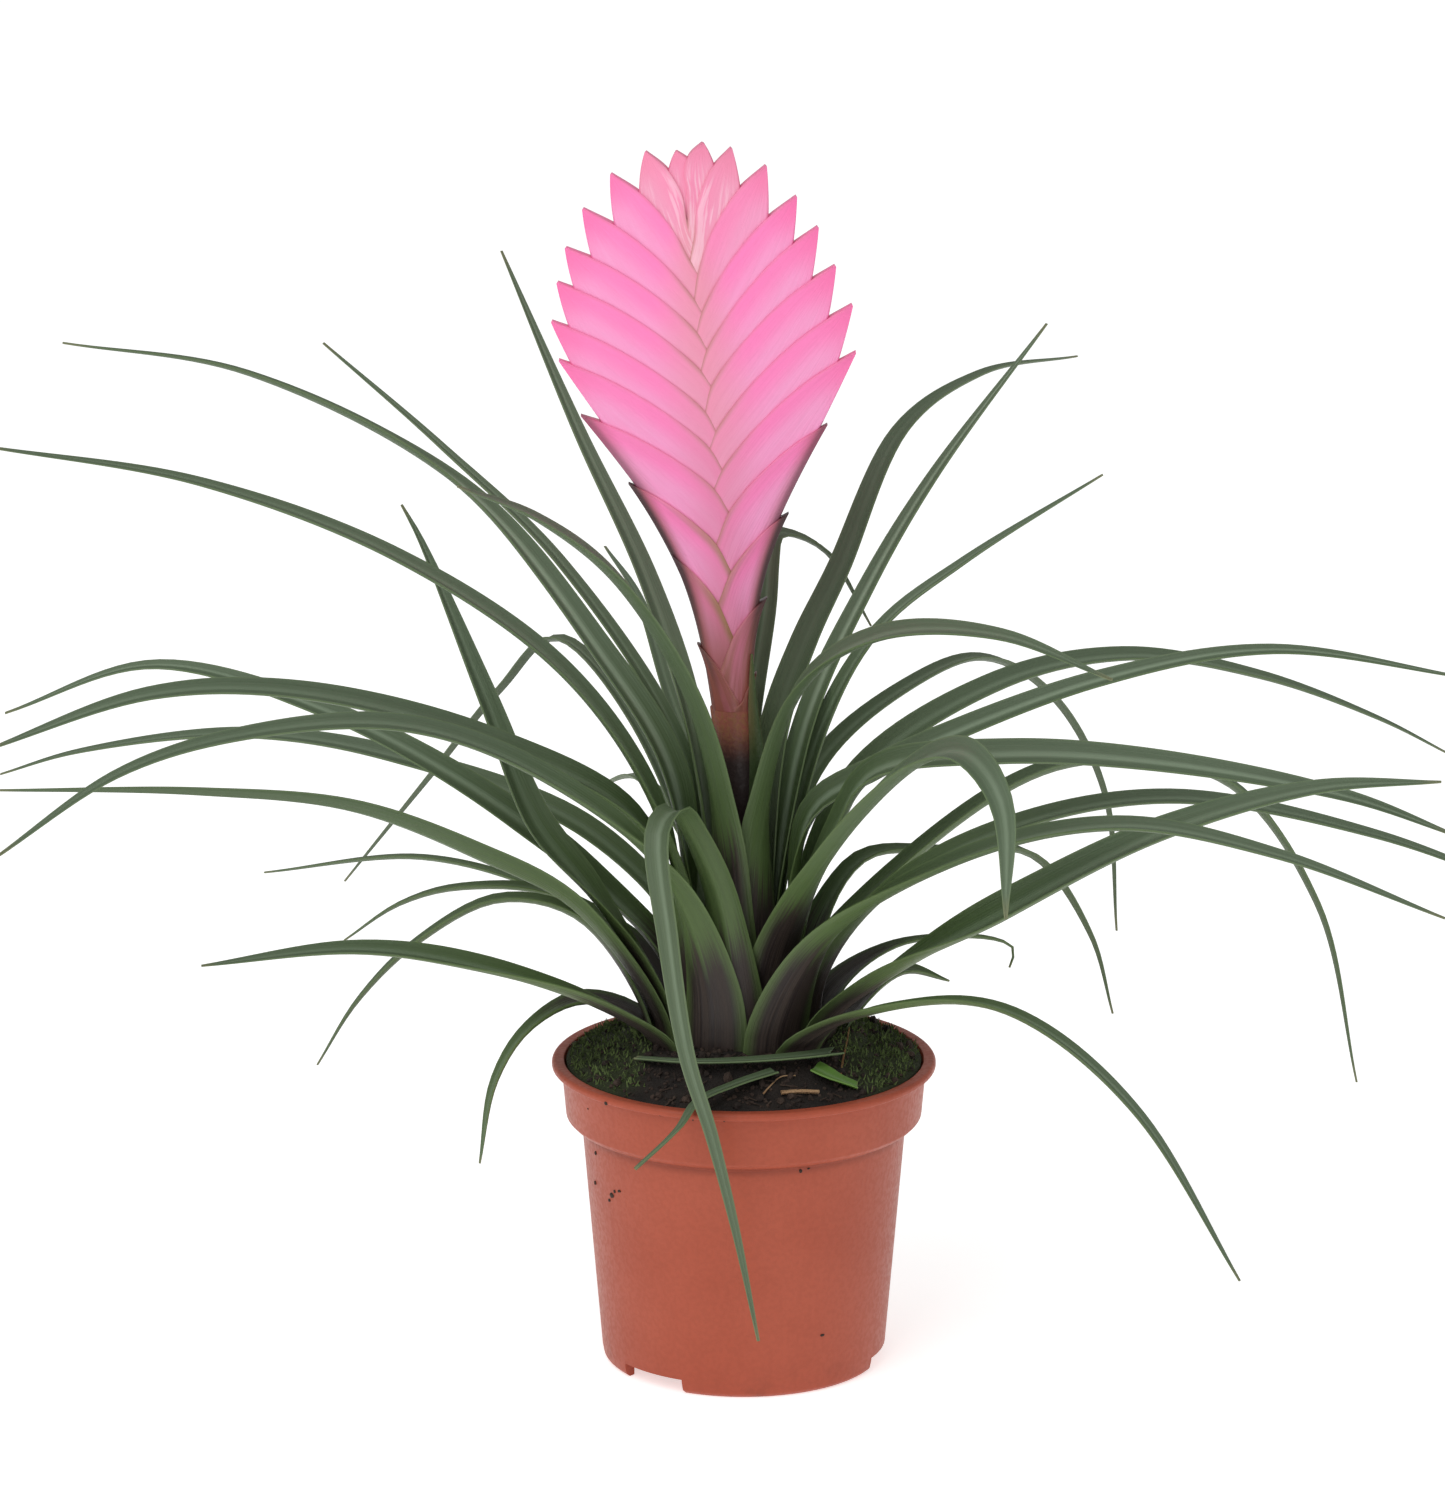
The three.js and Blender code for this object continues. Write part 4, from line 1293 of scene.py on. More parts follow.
    def build_crumbs(self, material: bpy.types.Material) -> bpy.types.Object:
        """Scatters crumbs and short fibres of peat.

        Args:
            material: The peat of the crumbs.

        Returns:
            The piece that holds them all.
        """
        draw = random.Random(self.seed)
        bm, tone = new_scatter()
        for x, y in self.places(draw, self.crumbs, self.crumb_reach, self.crumbs_off_moss):
            size = draw.uniform(*self.crumb_size)
            size *= self.lump_growth if draw.random() < self.lump_share else 1.0
            turn = tilted(*(draw.uniform(0.0, math.tau) for _ in range(3)))
            length, width = draw.uniform(*self.crumb_length), draw.uniform(*self.crumb_width)
            at = shifted(x, y, self.level(x, y) + self.crumb_lift * size)
            matrix = at @ turn @ scaled(size * length, size * width, size)
            made = bmesh.ops.create_icosphere(bm, subdivisions=1, radius=1.0, matrix=matrix)
            shade_all(made, tone, draw.random() ** 2)
        for x, y in self.places(draw, self.fibres, self.fibre_reach, self.fibres_off_moss):
            roll, pitch = draw.uniform(*self.fibre_roll), draw.uniform(*self.fibre_pitch)
            turn = tilted(roll, pitch, draw.uniform(0.0, math.tau))
            shape = scaled(draw.uniform(*self.fibre_length), self.fibre_width, self.fibre_depth)
            matrix = shifted(x, y, self.level(x, y) + self.fibre_lift) @ turn @ shape
            made = bmesh.ops.create_cube(bm, size=1.0, matrix=matrix)
            shade_all(made, tone, draw.uniform(*self.fibre_tone))
        return make_piece("peat_crumbs", bm, material, Slot.SOIL, sharp_angle=30.0)

    def build_moss(self, material: bpy.types.Material) -> bpy.types.Object:
        """Plants the moss as short leaning spikes.

        Args:
            material: The moss.

        Returns:
            The piece that holds all the tufts.
        """
        draw = random.Random(self.seed + 1)
        bm, tone = new_scatter()
        least, growth = self.clump_growth
        for x, y in self.places(draw, self.tufts, self.tuft_reach, 0.0):
            place = Vector((x, y, self.clump_place))
            clump = 0.5 + 0.5 * noise.noise(place * self.clump_fineness)
            if draw.random() > self.moss_share(x, y) * (least + growth * clump):
                continue
            height = draw.uniform(*self.tuft_height) + self.tuft_growth * clump * draw.random()
            lean = tilted(draw.gauss(0.0, self.tuft_lean), draw.gauss(0.0, self.tuft_lean), 0.0)
            foot = shifted(x, y, self.level(x, y) - self.tuft_root)
            made = bmesh.ops.create_cone(
                bm,
                cap_ends=True,
                segments=3,
                radius1=draw.uniform(*self.tuft_foot),
                radius2=self.tuft_tip,
                depth=height,
                matrix=foot @ lean @ shifted(0.0, 0.0, height / 2.0),
            )
            shade_all(made, tone, self.clump_tone * clump + draw.random() ** 2)
        return make_piece("moss", bm, material, Slot.SOIL, sharp_angle=40.0)


@dataclass(frozen=True)
class Strand:
    """A root or a splinter, by its width and the places across and along that it passes."""

    width: float
    route: tuple[Pair, ...]


@dataclass(frozen=True)
class Litter:
    """Small things on the pot and the ground: crumbs, a splinter of bark and two thin roots.

    A crumb on the pot is a bearing in degrees, a height and a size. A root is a list of places
    across and along, laid on the ground. It is lifted by a share of its width and a gap, and
    starts at a multiple of its width and loses a share of it on the way.
    """

    pot_crumbs: tuple[tuple[float, float, float], ...] = (
        (-138.0, 0.0708, 0.00085), (-135.0, 0.0716, 0.0005), (-156.0, 0.0543, 0.00055),
        (-159.0, 0.0463, 0.0007), (-146.0, 0.0457, 0.0008), (-141.0, 0.0476, 0.0006),
        (-148.0, 0.0441, 0.0006), (-144.0, 0.0470, 0.0005), (-148.5, 0.0672, 0.0004),
        (-70.0, 0.0565, 0.00055), (-67.0, 0.0569, 0.0004), (-58.0, 0.0143, 0.0006),
        (-117.0, 0.0708, 0.0005), (-106.0, 0.0706, 0.0004), (-96.0, 0.0712, 0.0004),
        (35.0, 0.052, 0.0006), (78.0, 0.031, 0.0005), (140.0, 0.049, 0.0006),
    )
    splinter: Strand = Strand(0.0013, ((0.0085, -0.0352), (0.0125, -0.0342), (0.0172, -0.0332)))
    pale_root: Strand = Strand(0.0004, (
        (0.0038, -0.0365), (0.0060, -0.0330), (0.0085, -0.0300), (0.0118, -0.0285),
    ))
    red_root: Strand = Strand(0.00045, (
        (0.0220, -0.0272), (0.0228, -0.0200), (0.0243, -0.0075), (0.0250, 0.0060),
    ))
    pot_crumb_depth: float = 0.4
    pot_crumb_lift: float = 0.1
    pot_crumb_width: Band = (0.6, 1.1)
    pot_crumb_height: Band = (0.5, 0.9)
    pot_crumb_roughness: Band = (0.2, 2500.0)
    pot_crumb_tone: float = 0.7
    fibre_lift: Band = (0.35, 0.0004)
    fibre_taper: Band = (1.15, 0.6)
    fibre_half_angle: float = 0.4
    fibre_depth: float = 0.6
    fibre_faces: tuple[int, int] = (4, 16)
    seed: int = 5

    def build_pot_crumbs(self, pot: Pot, material: bpy.types.Material) -> bpy.types.Object:
        """Sticks crumbs of peat to the outside of the pot.

        Args:
            pot: The pot that they sit on.
            material: The peat of the crumbs.

        Returns:
            The piece that holds them all.
        """
        draw = random.Random(self.seed)
        noise.seed_set(self.seed)
        bm, tone = new_scatter()
        dent, fineness = self.pot_crumb_roughness
        for bearing, height, size in self.pot_crumbs:
            reach = pot.outside_radius(height) + self.pot_crumb_lift * size
            turn = Matrix.Rotation(math.radians(bearing), 4, "Z")
            wide, high = draw.uniform(*self.pot_crumb_width), draw.uniform(*self.pot_crumb_height)
            shape = scaled(self.pot_crumb_depth * size, size * wide, size * high)
            matrix = shifted(*polar(reach, bearing, height)) @ turn @ shape
            made = bmesh.ops.create_icosphere(bm, subdivisions=2, radius=1.0, matrix=matrix)
            for vert in made["verts"]:
                vert.co += dent * size * noise.noise_vector(vert.co * fineness)
            shade_all(made, tone, self.pot_crumb_tone)
        return make_piece("crumbs_on_pot", bm, material, Slot.SOIL, sharp_angle=40.0)

    def build_fibre(
        self, name: str, strand: Strand, ground: Ground, material: bpy.types.Material
    ) -> bpy.types.Object:
        """Lays a root or a splinter on the ground.

        Args:
            name: The piece's name.
            strand: Its width and its route.
            ground: The ground that it lies on.
            material: Its material.

        Returns:
            The new piece.
        """
        width = strand.width
        lift = self.fibre_lift[0] * width + self.fibre_lift[1]
        spine = Spine([Vector((x, y, ground.level(x, y) + lift)) for x, y in strand.route])
        strip = Strip(*self.fibre_faces)
        strip.mark("tone", lambda place: 0.5 + place.y)

        def section(distance: float) -> Section:
            """Gives the cross-section at a distance from the start."""
            growth = self.fibre_taper[0] - self.fibre_taper[1] * distance / spine.length
            return Section(width * growth, self.fibre_half_angle, self.fibre_depth * width)

        strip.bend(spine, section, level_sideways)
        return make_piece(name, strip.bm, material, Slot.SOIL)


@dataclass(frozen=True)
class LeafShape:
    """One leaf of the rosette.

    ring counts the nested sheaths inwards from the outermost. foot is the sheath's bearing and
    heading the blade's, in degrees from +X. spine lists the points that the midrib passes, as
    reach from the pot's axis and height. sheath is the distance from the foot up to which the
    outside is dark, pale_from the distance past which the blade is bleached, tone how deep its
    green is and streak how bright the painted highlight down its channel is. roll turns the blade
    about its midrib, in degrees, and tip_roll is the roll that it reaches towards the tip.
    """

    name: str
    ring: int
    foot: float
    heading: float
    width: float
    spine: tuple[Pair, ...]
    taper: float = 1.8
    swing: float = 0.0
    sheath: float = 0.036
    tone: float = 0.5
    streak: float = 0.3
    pale_from: float = 1.0
    roll: float = 0.0
    tip_roll: float | None = None


LEAVES = (
    LeafShape("leaf_left_long", 7, -175, -168, 0.0125, taper=1.3, roll=-45, tip_roll=0,
              sheath=0.03, streak=0.8, spine=(
        (0.0134, 0.11), (0.0175, 0.143), (0.034, 0.172), (0.066, 0.213), (0.114, 0.241),
        (0.156, 0.25),
    )),
    LeafShape("leaf_left_thin", 9, 151, 155, 0.0055, roll=-25, spine=(
        (0.0098, 0.112), (0.0167, 0.146), (0.047, 0.187), (0.078, 0.212), (0.109, 0.234),
    )),
    LeafShape("leaf_front_left", 8, -112, -122, 0.013, taper=2.4, roll=-35, sheath=0.061, spine=(
        (0.011, 0.108), (0.014, 0.136), (0.024, 0.164), (0.053, 0.197), (0.085, 0.218),
        (0.117, 0.232),
    )),
    LeafShape("leaf_left_arch", 6, -150, -150, 0.0115, taper=1.1, roll=-40, sheath=0.045, spine=(
        (0.0152, 0.105), (0.025, 0.139), (0.048, 0.172), (0.089, 0.203), (0.138, 0.226),
        (0.19, 0.24),
    )),
    LeafShape("leaf_left_upright", 3, -171, -172, 0.0125, roll=-50, sheath=0.04, spine=(
        (0.0205, 0.088), (0.0352, 0.113), (0.049, 0.132), (0.06, 0.161), (0.075, 0.2),
        (0.079, 0.208),
    )),
    LeafShape("leaf_left_low_a", 4, 164, 171, 0.013, taper=1, roll=-40, tone=0.4,
              streak=0.5, spine=(
        (0.0175, 0.092), (0.038, 0.115), (0.067, 0.137), (0.1, 0.153), (0.14, 0.162),
        (0.176, 0.149),
    )),
    LeafShape("leaf_left_low_b", 5, -155, -158, 0.0095, taper=3.2, roll=-30, spine=(
        (0.0162, 0.098), (0.0265, 0.132), (0.06, 0.154), (0.108, 0.171), (0.143, 0.174),
        (0.182, 0.165),
    )),
    LeafShape("leaf_left_low_c", 5, 137, 156, 0.0085, roll=-25, spine=(
        (0.016, 0.095), (0.044, 0.121), (0.092, 0.136), (0.132, 0.137), (0.176, 0.128),
        (0.198, 0.12),
    )),
    LeafShape("leaf_left_low_d", 3, -115, -145, 0.012, taper=1.2, roll=-35, spine=(
        (0.019, 0.095), (0.029, 0.124), (0.057, 0.15), (0.094, 0.167), (0.136, 0.171),
        (0.167, 0.167), (0.198, 0.153),
    )),
    LeafShape("leaf_left_low_e", 2, -165, -160, 0.0115, taper=1.2, roll=35, spine=(
        (0.022, 0.086), (0.0408, 0.1125), (0.065, 0.128), (0.095, 0.142), (0.131, 0.149),
        (0.178, 0.154),
    )),
    LeafShape("leaf_left_wisp", 0, 138, 150, 0.0045, spine=(
        (0.024, 0.08), (0.04, 0.098), (0.056, 0.106), (0.089, 0.109), (0.134, 0.099),
    )),
    LeafShape("leaf_left_low_f", 2, 146, 165, 0.0075, spine=(
        (0.022, 0.087), (0.047, 0.106), (0.069, 0.109), (0.084, 0.104), (0.098, 0.094),
    )),
    LeafShape("leaf_left_low_g", 1, -180, -180, 0.008, spine=(
        (0.024, 0.086), (0.039, 0.107), (0.057, 0.111), (0.076, 0.101), (0.09, 0.087),
        (0.1, 0.071),
    )),
    LeafShape("leaf_left_low_h", 0, -148, -155, 0.011, roll=-25, spine=(
        (0.024, 0.08), (0.037, 0.09), (0.067, 0.103), (0.097, 0.111), (0.135, 0.112),
    )),
    LeafShape("leaf_left_hanging", 0, -187, -168, 0.0075, roll=-20, spine=(
        (0.024, 0.08), (0.037, 0.087), (0.051, 0.083), (0.059, 0.071), (0.063, 0.051),
    )),
    LeafShape("leaf_back_left_thread", 6, 125, 135, 0.0055, pale_from=0.03, spine=(
        (0.015, 0.105), (0.04, 0.146), (0.062, 0.163), (0.082, 0.147), (0.108, 0.12),
        (0.139, 0.088),
    )),
    LeafShape("leaf_back_arch", 8, 98, 76, 0.007, taper=3, swing=-20, roll=30,
              pale_from=0.07, spine=(
        (0.0117, 0.115), (0.015, 0.15), (0.021, 0.177), (0.0255, 0.188), (0.03, 0.1915),
        (0.0367, 0.19), (0.043, 0.185), (0.054, 0.166),
    )),
    LeafShape("leaf_back_tall", 10, 158, 125, 0.0095, spine=(
        (0.008, 0.115), (0.0165, 0.153), (0.04, 0.18), (0.068, 0.21), (0.101, 0.249),
    )),
    LeafShape("leaf_back_short", 5, 76, 105, 0.006, spine=(
        (0.017, 0.092), (0.03, 0.115), (0.06, 0.14), (0.097, 0.16), (0.132, 0.166),
    )),
    LeafShape("leaf_right_tall_a", 11, 47, 52, 0.013, taper=1.3, tone=0.6, streak=0.1, spine=(
        (0.007, 0.118), (0.0125, 0.15), (0.024, 0.168), (0.037, 0.183), (0.06, 0.212),
        (0.092, 0.221), (0.132, 0.219),
    )),
    LeafShape("leaf_right_tall_b", 10, 25, 29, 0.01, taper=1.4, roll=20, streak=0.7, spine=(
        (0.0085, 0.112), (0.0166, 0.152), (0.033, 0.182), (0.05, 0.206), (0.081, 0.24),
    )),
    LeafShape("leaf_right_spear", 9, 40, 5, 0.0075, roll=20, spine=(
        (0.0102, 0.108), (0.02, 0.151), (0.032, 0.176), (0.051, 0.191), (0.083, 0.211),
    )),
    LeafShape("leaf_front_right_arch", 9, -70, -50, 0.014, taper=1.4, roll=35, sheath=0.05, spine=(
        (0.009, 0.11), (0.01, 0.137), (0.02, 0.165), (0.047, 0.183), (0.088, 0.191),
        (0.124, 0.188),
    )),
    LeafShape("leaf_right_hoop", 7, 66, 46, 0.007, roll=5, pale_from=0.1, spine=(
        (0.014, 0.106), (0.032, 0.137), (0.06, 0.153), (0.084, 0.154), (0.109, 0.139),
        (0.128, 0.111), (0.133, 0.076),
    )),
    LeafShape("leaf_right_sweep_a", 6, 27, 24, 0.01, roll=20, spine=(
        (0.015, 0.103), (0.03, 0.137), (0.065, 0.156), (0.099, 0.1595), (0.135, 0.151),
        (0.168, 0.137), (0.188, 0.126),
    )),
    LeafShape("leaf_right_sweep_b", 8, -11, 2, 0.0105, taper=1.4, roll=35, streak=0.6, spine=(
        (0.0117, 0.106), (0.0163, 0.133), (0.031, 0.142), (0.045, 0.149), (0.082, 0.163),
        (0.122, 0.17), (0.168, 0.163),
    )),
    LeafShape("leaf_front_right_folded", 6, -56, -60, 0.0135, taper=3.4, roll=30,
              sheath=0.052, spine=(
        (0.0145, 0.098), (0.026, 0.117), (0.052, 0.143), (0.082, 0.164), (0.099, 0.168),
        (0.112, 0.16), (0.114, 0.135),
    )),
    LeafShape("leaf_right_low_a", 7, -12, -28, 0.01, taper=3, roll=35, tone=0.4, streak=0.5, spine=(
        (0.0137, 0.108), (0.023, 0.1305), (0.034, 0.146), (0.066, 0.154), (0.104, 0.157),
        (0.152, 0.155), (0.178, 0.1495),
    )),
    LeafShape("leaf_right_drooping", 5, 10, 6, 0.0105, spine=(
        (0.016, 0.092), (0.037, 0.117), (0.074, 0.141), (0.112, 0.137), (0.135, 0.107),
        (0.146, 0.062),
    )),
    LeafShape("leaf_right_hook", 3, 42, 30, 0.0075, spine=(
        (0.0195, 0.092), (0.034, 0.115), (0.056, 0.115), (0.079, 0.111), (0.096, 0.089),
        (0.103, 0.068),
    )),
    LeafShape("leaf_right_low_b", 3, -18, -20, 0.011, taper=1.2, roll=25, spine=(
        (0.019, 0.092), (0.032, 0.113), (0.064, 0.134), (0.103, 0.145), (0.151, 0.141),
        (0.193, 0.1295),
    )),
    LeafShape("leaf_right_low_c", 2, -66, -40, 0.012, taper=1.4, roll=20, sheath=0.042, spine=(
        (0.021, 0.086), (0.032, 0.109), (0.064, 0.132), (0.109, 0.148), (0.152, 0.149),
        (0.196, 0.143),
    )),
    LeafShape("leaf_right_straight", 1, -30, -32, 0.0145, taper=2.2, roll=35, spine=(
        (0.023, 0.084), (0.037, 0.097), (0.069, 0.118), (0.11, 0.143), (0.149, 0.159),
        (0.179, 0.165),
    )),
    LeafShape("leaf_right_curl", 1, 32, 20, 0.004, spine=(
        (0.023, 0.084), (0.04, 0.095), (0.061, 0.096), (0.068, 0.0925), (0.067, 0.088),
    )),
    LeafShape("leaf_right_stub", 0, 6, 10, 0.007, taper=5, roll=20, sheath=0.03, spine=(
        (0.024, 0.08), (0.037, 0.092), (0.049, 0.089),
    )),
    LeafShape("leaf_right_trailing", 0, -58, -45, 0.0055, taper=2.6, spine=(
        (0.024, 0.08), (0.034, 0.089), (0.069, 0.101), (0.094, 0.1), (0.124, 0.086),
        (0.154, 0.055),
    )),
    LeafShape("leaf_front_folded", 4, -98, -117, 0.012, taper=0.9, swing=31, sheath=0.038,
              pale_from=0.072, spine=(
        (0.017, 0.092), (0.019, 0.116), (0.027, 0.134), (0.035, 0.141), (0.0425, 0.138),
        (0.048, 0.115), (0.0507, 0.088), (0.0508, 0.07), (0.0485, 0.046), (0.0466, 0.019),
    )),
    LeafShape("leaf_back_low_a", 1, 88, 92, 0.008, spine=(
        (0.023, 0.086), (0.044, 0.108), (0.085, 0.117), (0.125, 0.101),
    )),
    LeafShape("leaf_back_low_b", 2, 104, 110, 0.007, spine=(
        (0.022, 0.09), (0.04, 0.112), (0.072, 0.122), (0.105, 0.112),
    )),
    LeafShape("leaf_back_low_c", 3, 88, 76, 0.0075, spine=(
        (0.02, 0.094), (0.036, 0.118), (0.066, 0.131), (0.1, 0.124),
    )),
)


@dataclass(frozen=True)
class Rosette:
    """The leaves, each with a wide sheath round the stem and a channelled blade."""

    foot_level: float = 0.0704
    outer_ring: float = 0.0222
    ring_pitch: float = 0.0015
    sheath_least: float = 0.009
    sheath_per_blade: float = 0.65
    sheath_opens: Band = (0.0115, 0.046)
    rolled: Band = (0.03, 0.075)
    tip_rolled: Band = (0.5, 0.72)
    swing_from: int = 4
    thickness: float = 0.0008
    tip_thickness: float = 0.45
    thinning: Band = (0.7, 1.0)
    channel_half_angle: float = 0.87
    foot_angle_most: float = 1.2
    tip_width: float = 0.0007
    faces_across: int = 14
    row_length: float = 0.0033
    rows: tuple[int, int] = (26, 84)
    paling: float = 0.02

    def ring_radius(self, leaf: LeafShape) -> float:
        """Gives the radius at which a leaf's sheath stands."""
        return self.outer_ring - self.ring_pitch * leaf.ring

    def sheath_width(self, leaf: LeafShape) -> float:
        """Gives the width of a leaf's sheath."""
        wanted = self.sheath_least + self.sheath_per_blade * leaf.width
        return min(wanted, 2.0 * self.foot_angle_most * self.ring_radius(leaf))

    def leaf_spine(self, leaf: LeafShape) -> Spine:
        """Lays a leaf's midrib.

        Args:
            leaf: The leaf.

        Returns:
            The line from its foot to its tip.
        """
        points = [polar(self.ring_radius(leaf), leaf.foot, self.foot_level)]
        swung_points = max(1, len(leaf.spine) - 1 - self.swing_from)
        for i, (reach, height) in enumerate(leaf.spine):
            swung = leaf.swing * max(0, i - self.swing_from) / swung_points
            bearing = lerp(leaf.foot, leaf.heading, min(1.0, i / 2.0)) + swung
            points.append(polar(reach, bearing, height))
        return Spine(points)

    def leaf_roll(self, leaf: LeafShape, distance: float, share: float) -> float:
        """Gives how far a blade is rolled about its midrib.

        Args:
            leaf: The leaf.
            distance: How far from the foot, along the midrib.
            share: The same distance as a share of the midrib.

        Returns:
            The angle in radians.
        """
        end = leaf.roll if leaf.tip_roll is None else leaf.tip_roll
        roll = lerp(leaf.roll, end, smoothstep(share, *self.tip_rolled))
        return math.radians(roll) * smoothstep(distance, *self.rolled)

    def section(self, leaf: LeafShape, spine: Spine, distance: float) -> Section:
        """Gives a leaf's cross-section.

        Args:
            leaf: The leaf.
            spine: Its midrib.
            distance: How far from the foot, along the midrib.

        Returns:
            The section there.
        """
        opened = smoothstep(distance, *self.sheath_opens)
        sheath = self.sheath_width(leaf)
        wide = lerp(sheath, leaf.width, opened)
        share = distance / spine.length
        width = (wide - self.tip_width) * (1.0 - share ** leaf.taper) + self.tip_width
        foot_angle = sheath / 2.0 / self.ring_radius(leaf)
        thinned = smoothstep(share, *self.thinning)
        return Section(
            width=width,
            half_angle=lerp(foot_angle, self.channel_half_angle, opened),
            thickness=self.thickness * lerp(1.0, self.tip_thickness, thinned),
            roll=self.leaf_roll(leaf, distance, share),
        )

    def build_leaf(self, leaf: LeafShape, material: bpy.types.Material) -> bpy.types.Object:
        """Builds one leaf.

        Args:
            leaf: The leaf.
            material: The material that all leaves share.

        Returns:
            The leaf's piece.
        """
        spine = self.leaf_spine(leaf)
        fewest, most = self.rows
        rows = min(most, max(fewest, round(spine.length / self.row_length)))
        strip = Strip(self.faces_across, rows)
        pale_range = (leaf.pale_from, leaf.pale_from + self.paling)

        def distance(place: Vector) -> float:
            """Gives how far a point of the flat slab is from the foot."""
            return (place.y + 0.5) * spine.length

        strip.mark("foot_distance", distance)
        strip.mark("facing", facing)
        strip.mark_all(tone=leaf.tone, streak=leaf.streak, sheath=leaf.sheath)
        strip.mark("pale", lambda place: smoothstep(distance(place), *pale_range))
        strip.bend(
            spine,
            lambda along: self.section(leaf, spine, along),
            lambda place, forward: Vector((-place.y, place.x, 0.0)).normalized(),
        )
        name = leaf.name.replace("leaf_", "blade_")
        return make_piece(name, strip.bm, material, Slot.LEAF, leaf.name)

    def build(self, material: bpy.types.Material) -> list[bpy.types.Object]:
        """Builds every leaf of the schedule."""
        return [self.build_leaf(leaf, material) for leaf in LEAVES]


@dataclass(frozen=True)
class CutLeaf:
    """A cut or fallen strip of leaf, with a notch where it was cut."""

    name: str
    width: float
    narrow_to: float
    points: tuple[tuple[float, float, float], ...]
    pale: float
    tone: float
    notch: float
    tip_pale: float
    fresh: float = 0.0
    # how bright the painted highlight down the channel is
    streak: float = 0.25
    blade_distance: float = 0.09
    notch_sharpness: int = 5
    half_angle: float = 0.45
    thickness: float = 0.0007
    faces_across: int = 10
    row_length: float = 0.0012
    fewest_rows: int = 14

    def build(self, material: bpy.types.Material) -> bpy.types.Object:
        """Builds the strip.

        Args:
            material: The leaf's material.

        Returns:
            The strip's piece.
        """
        spine = Spine([Vector(place) for place in self.points])
        rows = max(self.fewest_rows, round(spine.length / self.row_length))
        strip = Strip(self.faces_across, rows)
        strip.mark_all(
            foot_distance=lerp(self.blade_distance, 0.0, self.fresh),
            fresh=self.fresh,
            tone=self.tone,
            streak=self.streak,
            sheath=-1.0,
        )
        strip.mark("facing", facing)
        strip.mark("pale", lambda place: min(1.0, self.pale + self.tip_pale * max(0.0, place.y)))
        for vert in strip.bm.verts:
            share = vert.co.y + 0.5
            middle = 1.0 - abs(2.0 * vert.co.x)
            vert.co.y += self.notch * middle * (1.0 - share) ** self.notch_sharpness

        def section(distance: float) -> Section:
            """Gives the cross-section at a distance from the cut end."""
            width = lerp(self.width, self.narrow_to, distance / spine.length)
            return Section(width, self.half_angle, self.thickness)

        strip.bend(spine, section, level_sideways)
        name = self.name.replace("cut_leaf_", "cut_strip_")
        return make_piece(name, strip.bm, material, Slot.CUT_LEAF, self.name)


CUT_LEAVES = (
    CutLeaf("cut_leaf_on_soil", 0.0052, 0.0022, (
        (0.022, -0.022, 0.0808), (0.013, -0.0265, 0.0811), (0.0, -0.029, 0.0809),
        (-0.012, -0.0275, 0.0802), (-0.025, -0.020, 0.0788),
    ), pale=0.35, tone=0.5, notch=0.06, tip_pale=1.2),
    CutLeaf("cut_leaf_over_rim", 0.004, 0.0009, (
        (0.007, -0.0306, 0.0788), (-0.002, -0.036, 0.0774), (-0.011, -0.0435, 0.0754),
        (-0.015, -0.0485, 0.071), (-0.025, -0.051, 0.062),
    ), pale=0.1, tone=0.7, notch=0.0, tip_pale=0.3),
    CutLeaf("cut_leaf_stub", 0.0075, 0.005, (
        (0.016, -0.0265, 0.0783), (0.021, -0.028, 0.0763), (0.026, -0.028, 0.0743),
    ), pale=0.0, tone=0.2, notch=0.0, tip_pale=0.0, fresh=1.0),
)


@dataclass(frozen=True)
class Bract:
    """One bract, by three places across and up: its tip, the place where its free edge crosses the
    spike's midline, and the place on the midline's far side where that edge goes under."""

    tip: Pair
    cross: Pair
    end: Pair
    lift: float = 0.0011


class Side(Enum):
    """The two ranks of bracts, as the sign of the way that they point."""

    LEFT = -1
    RIGHT = 1


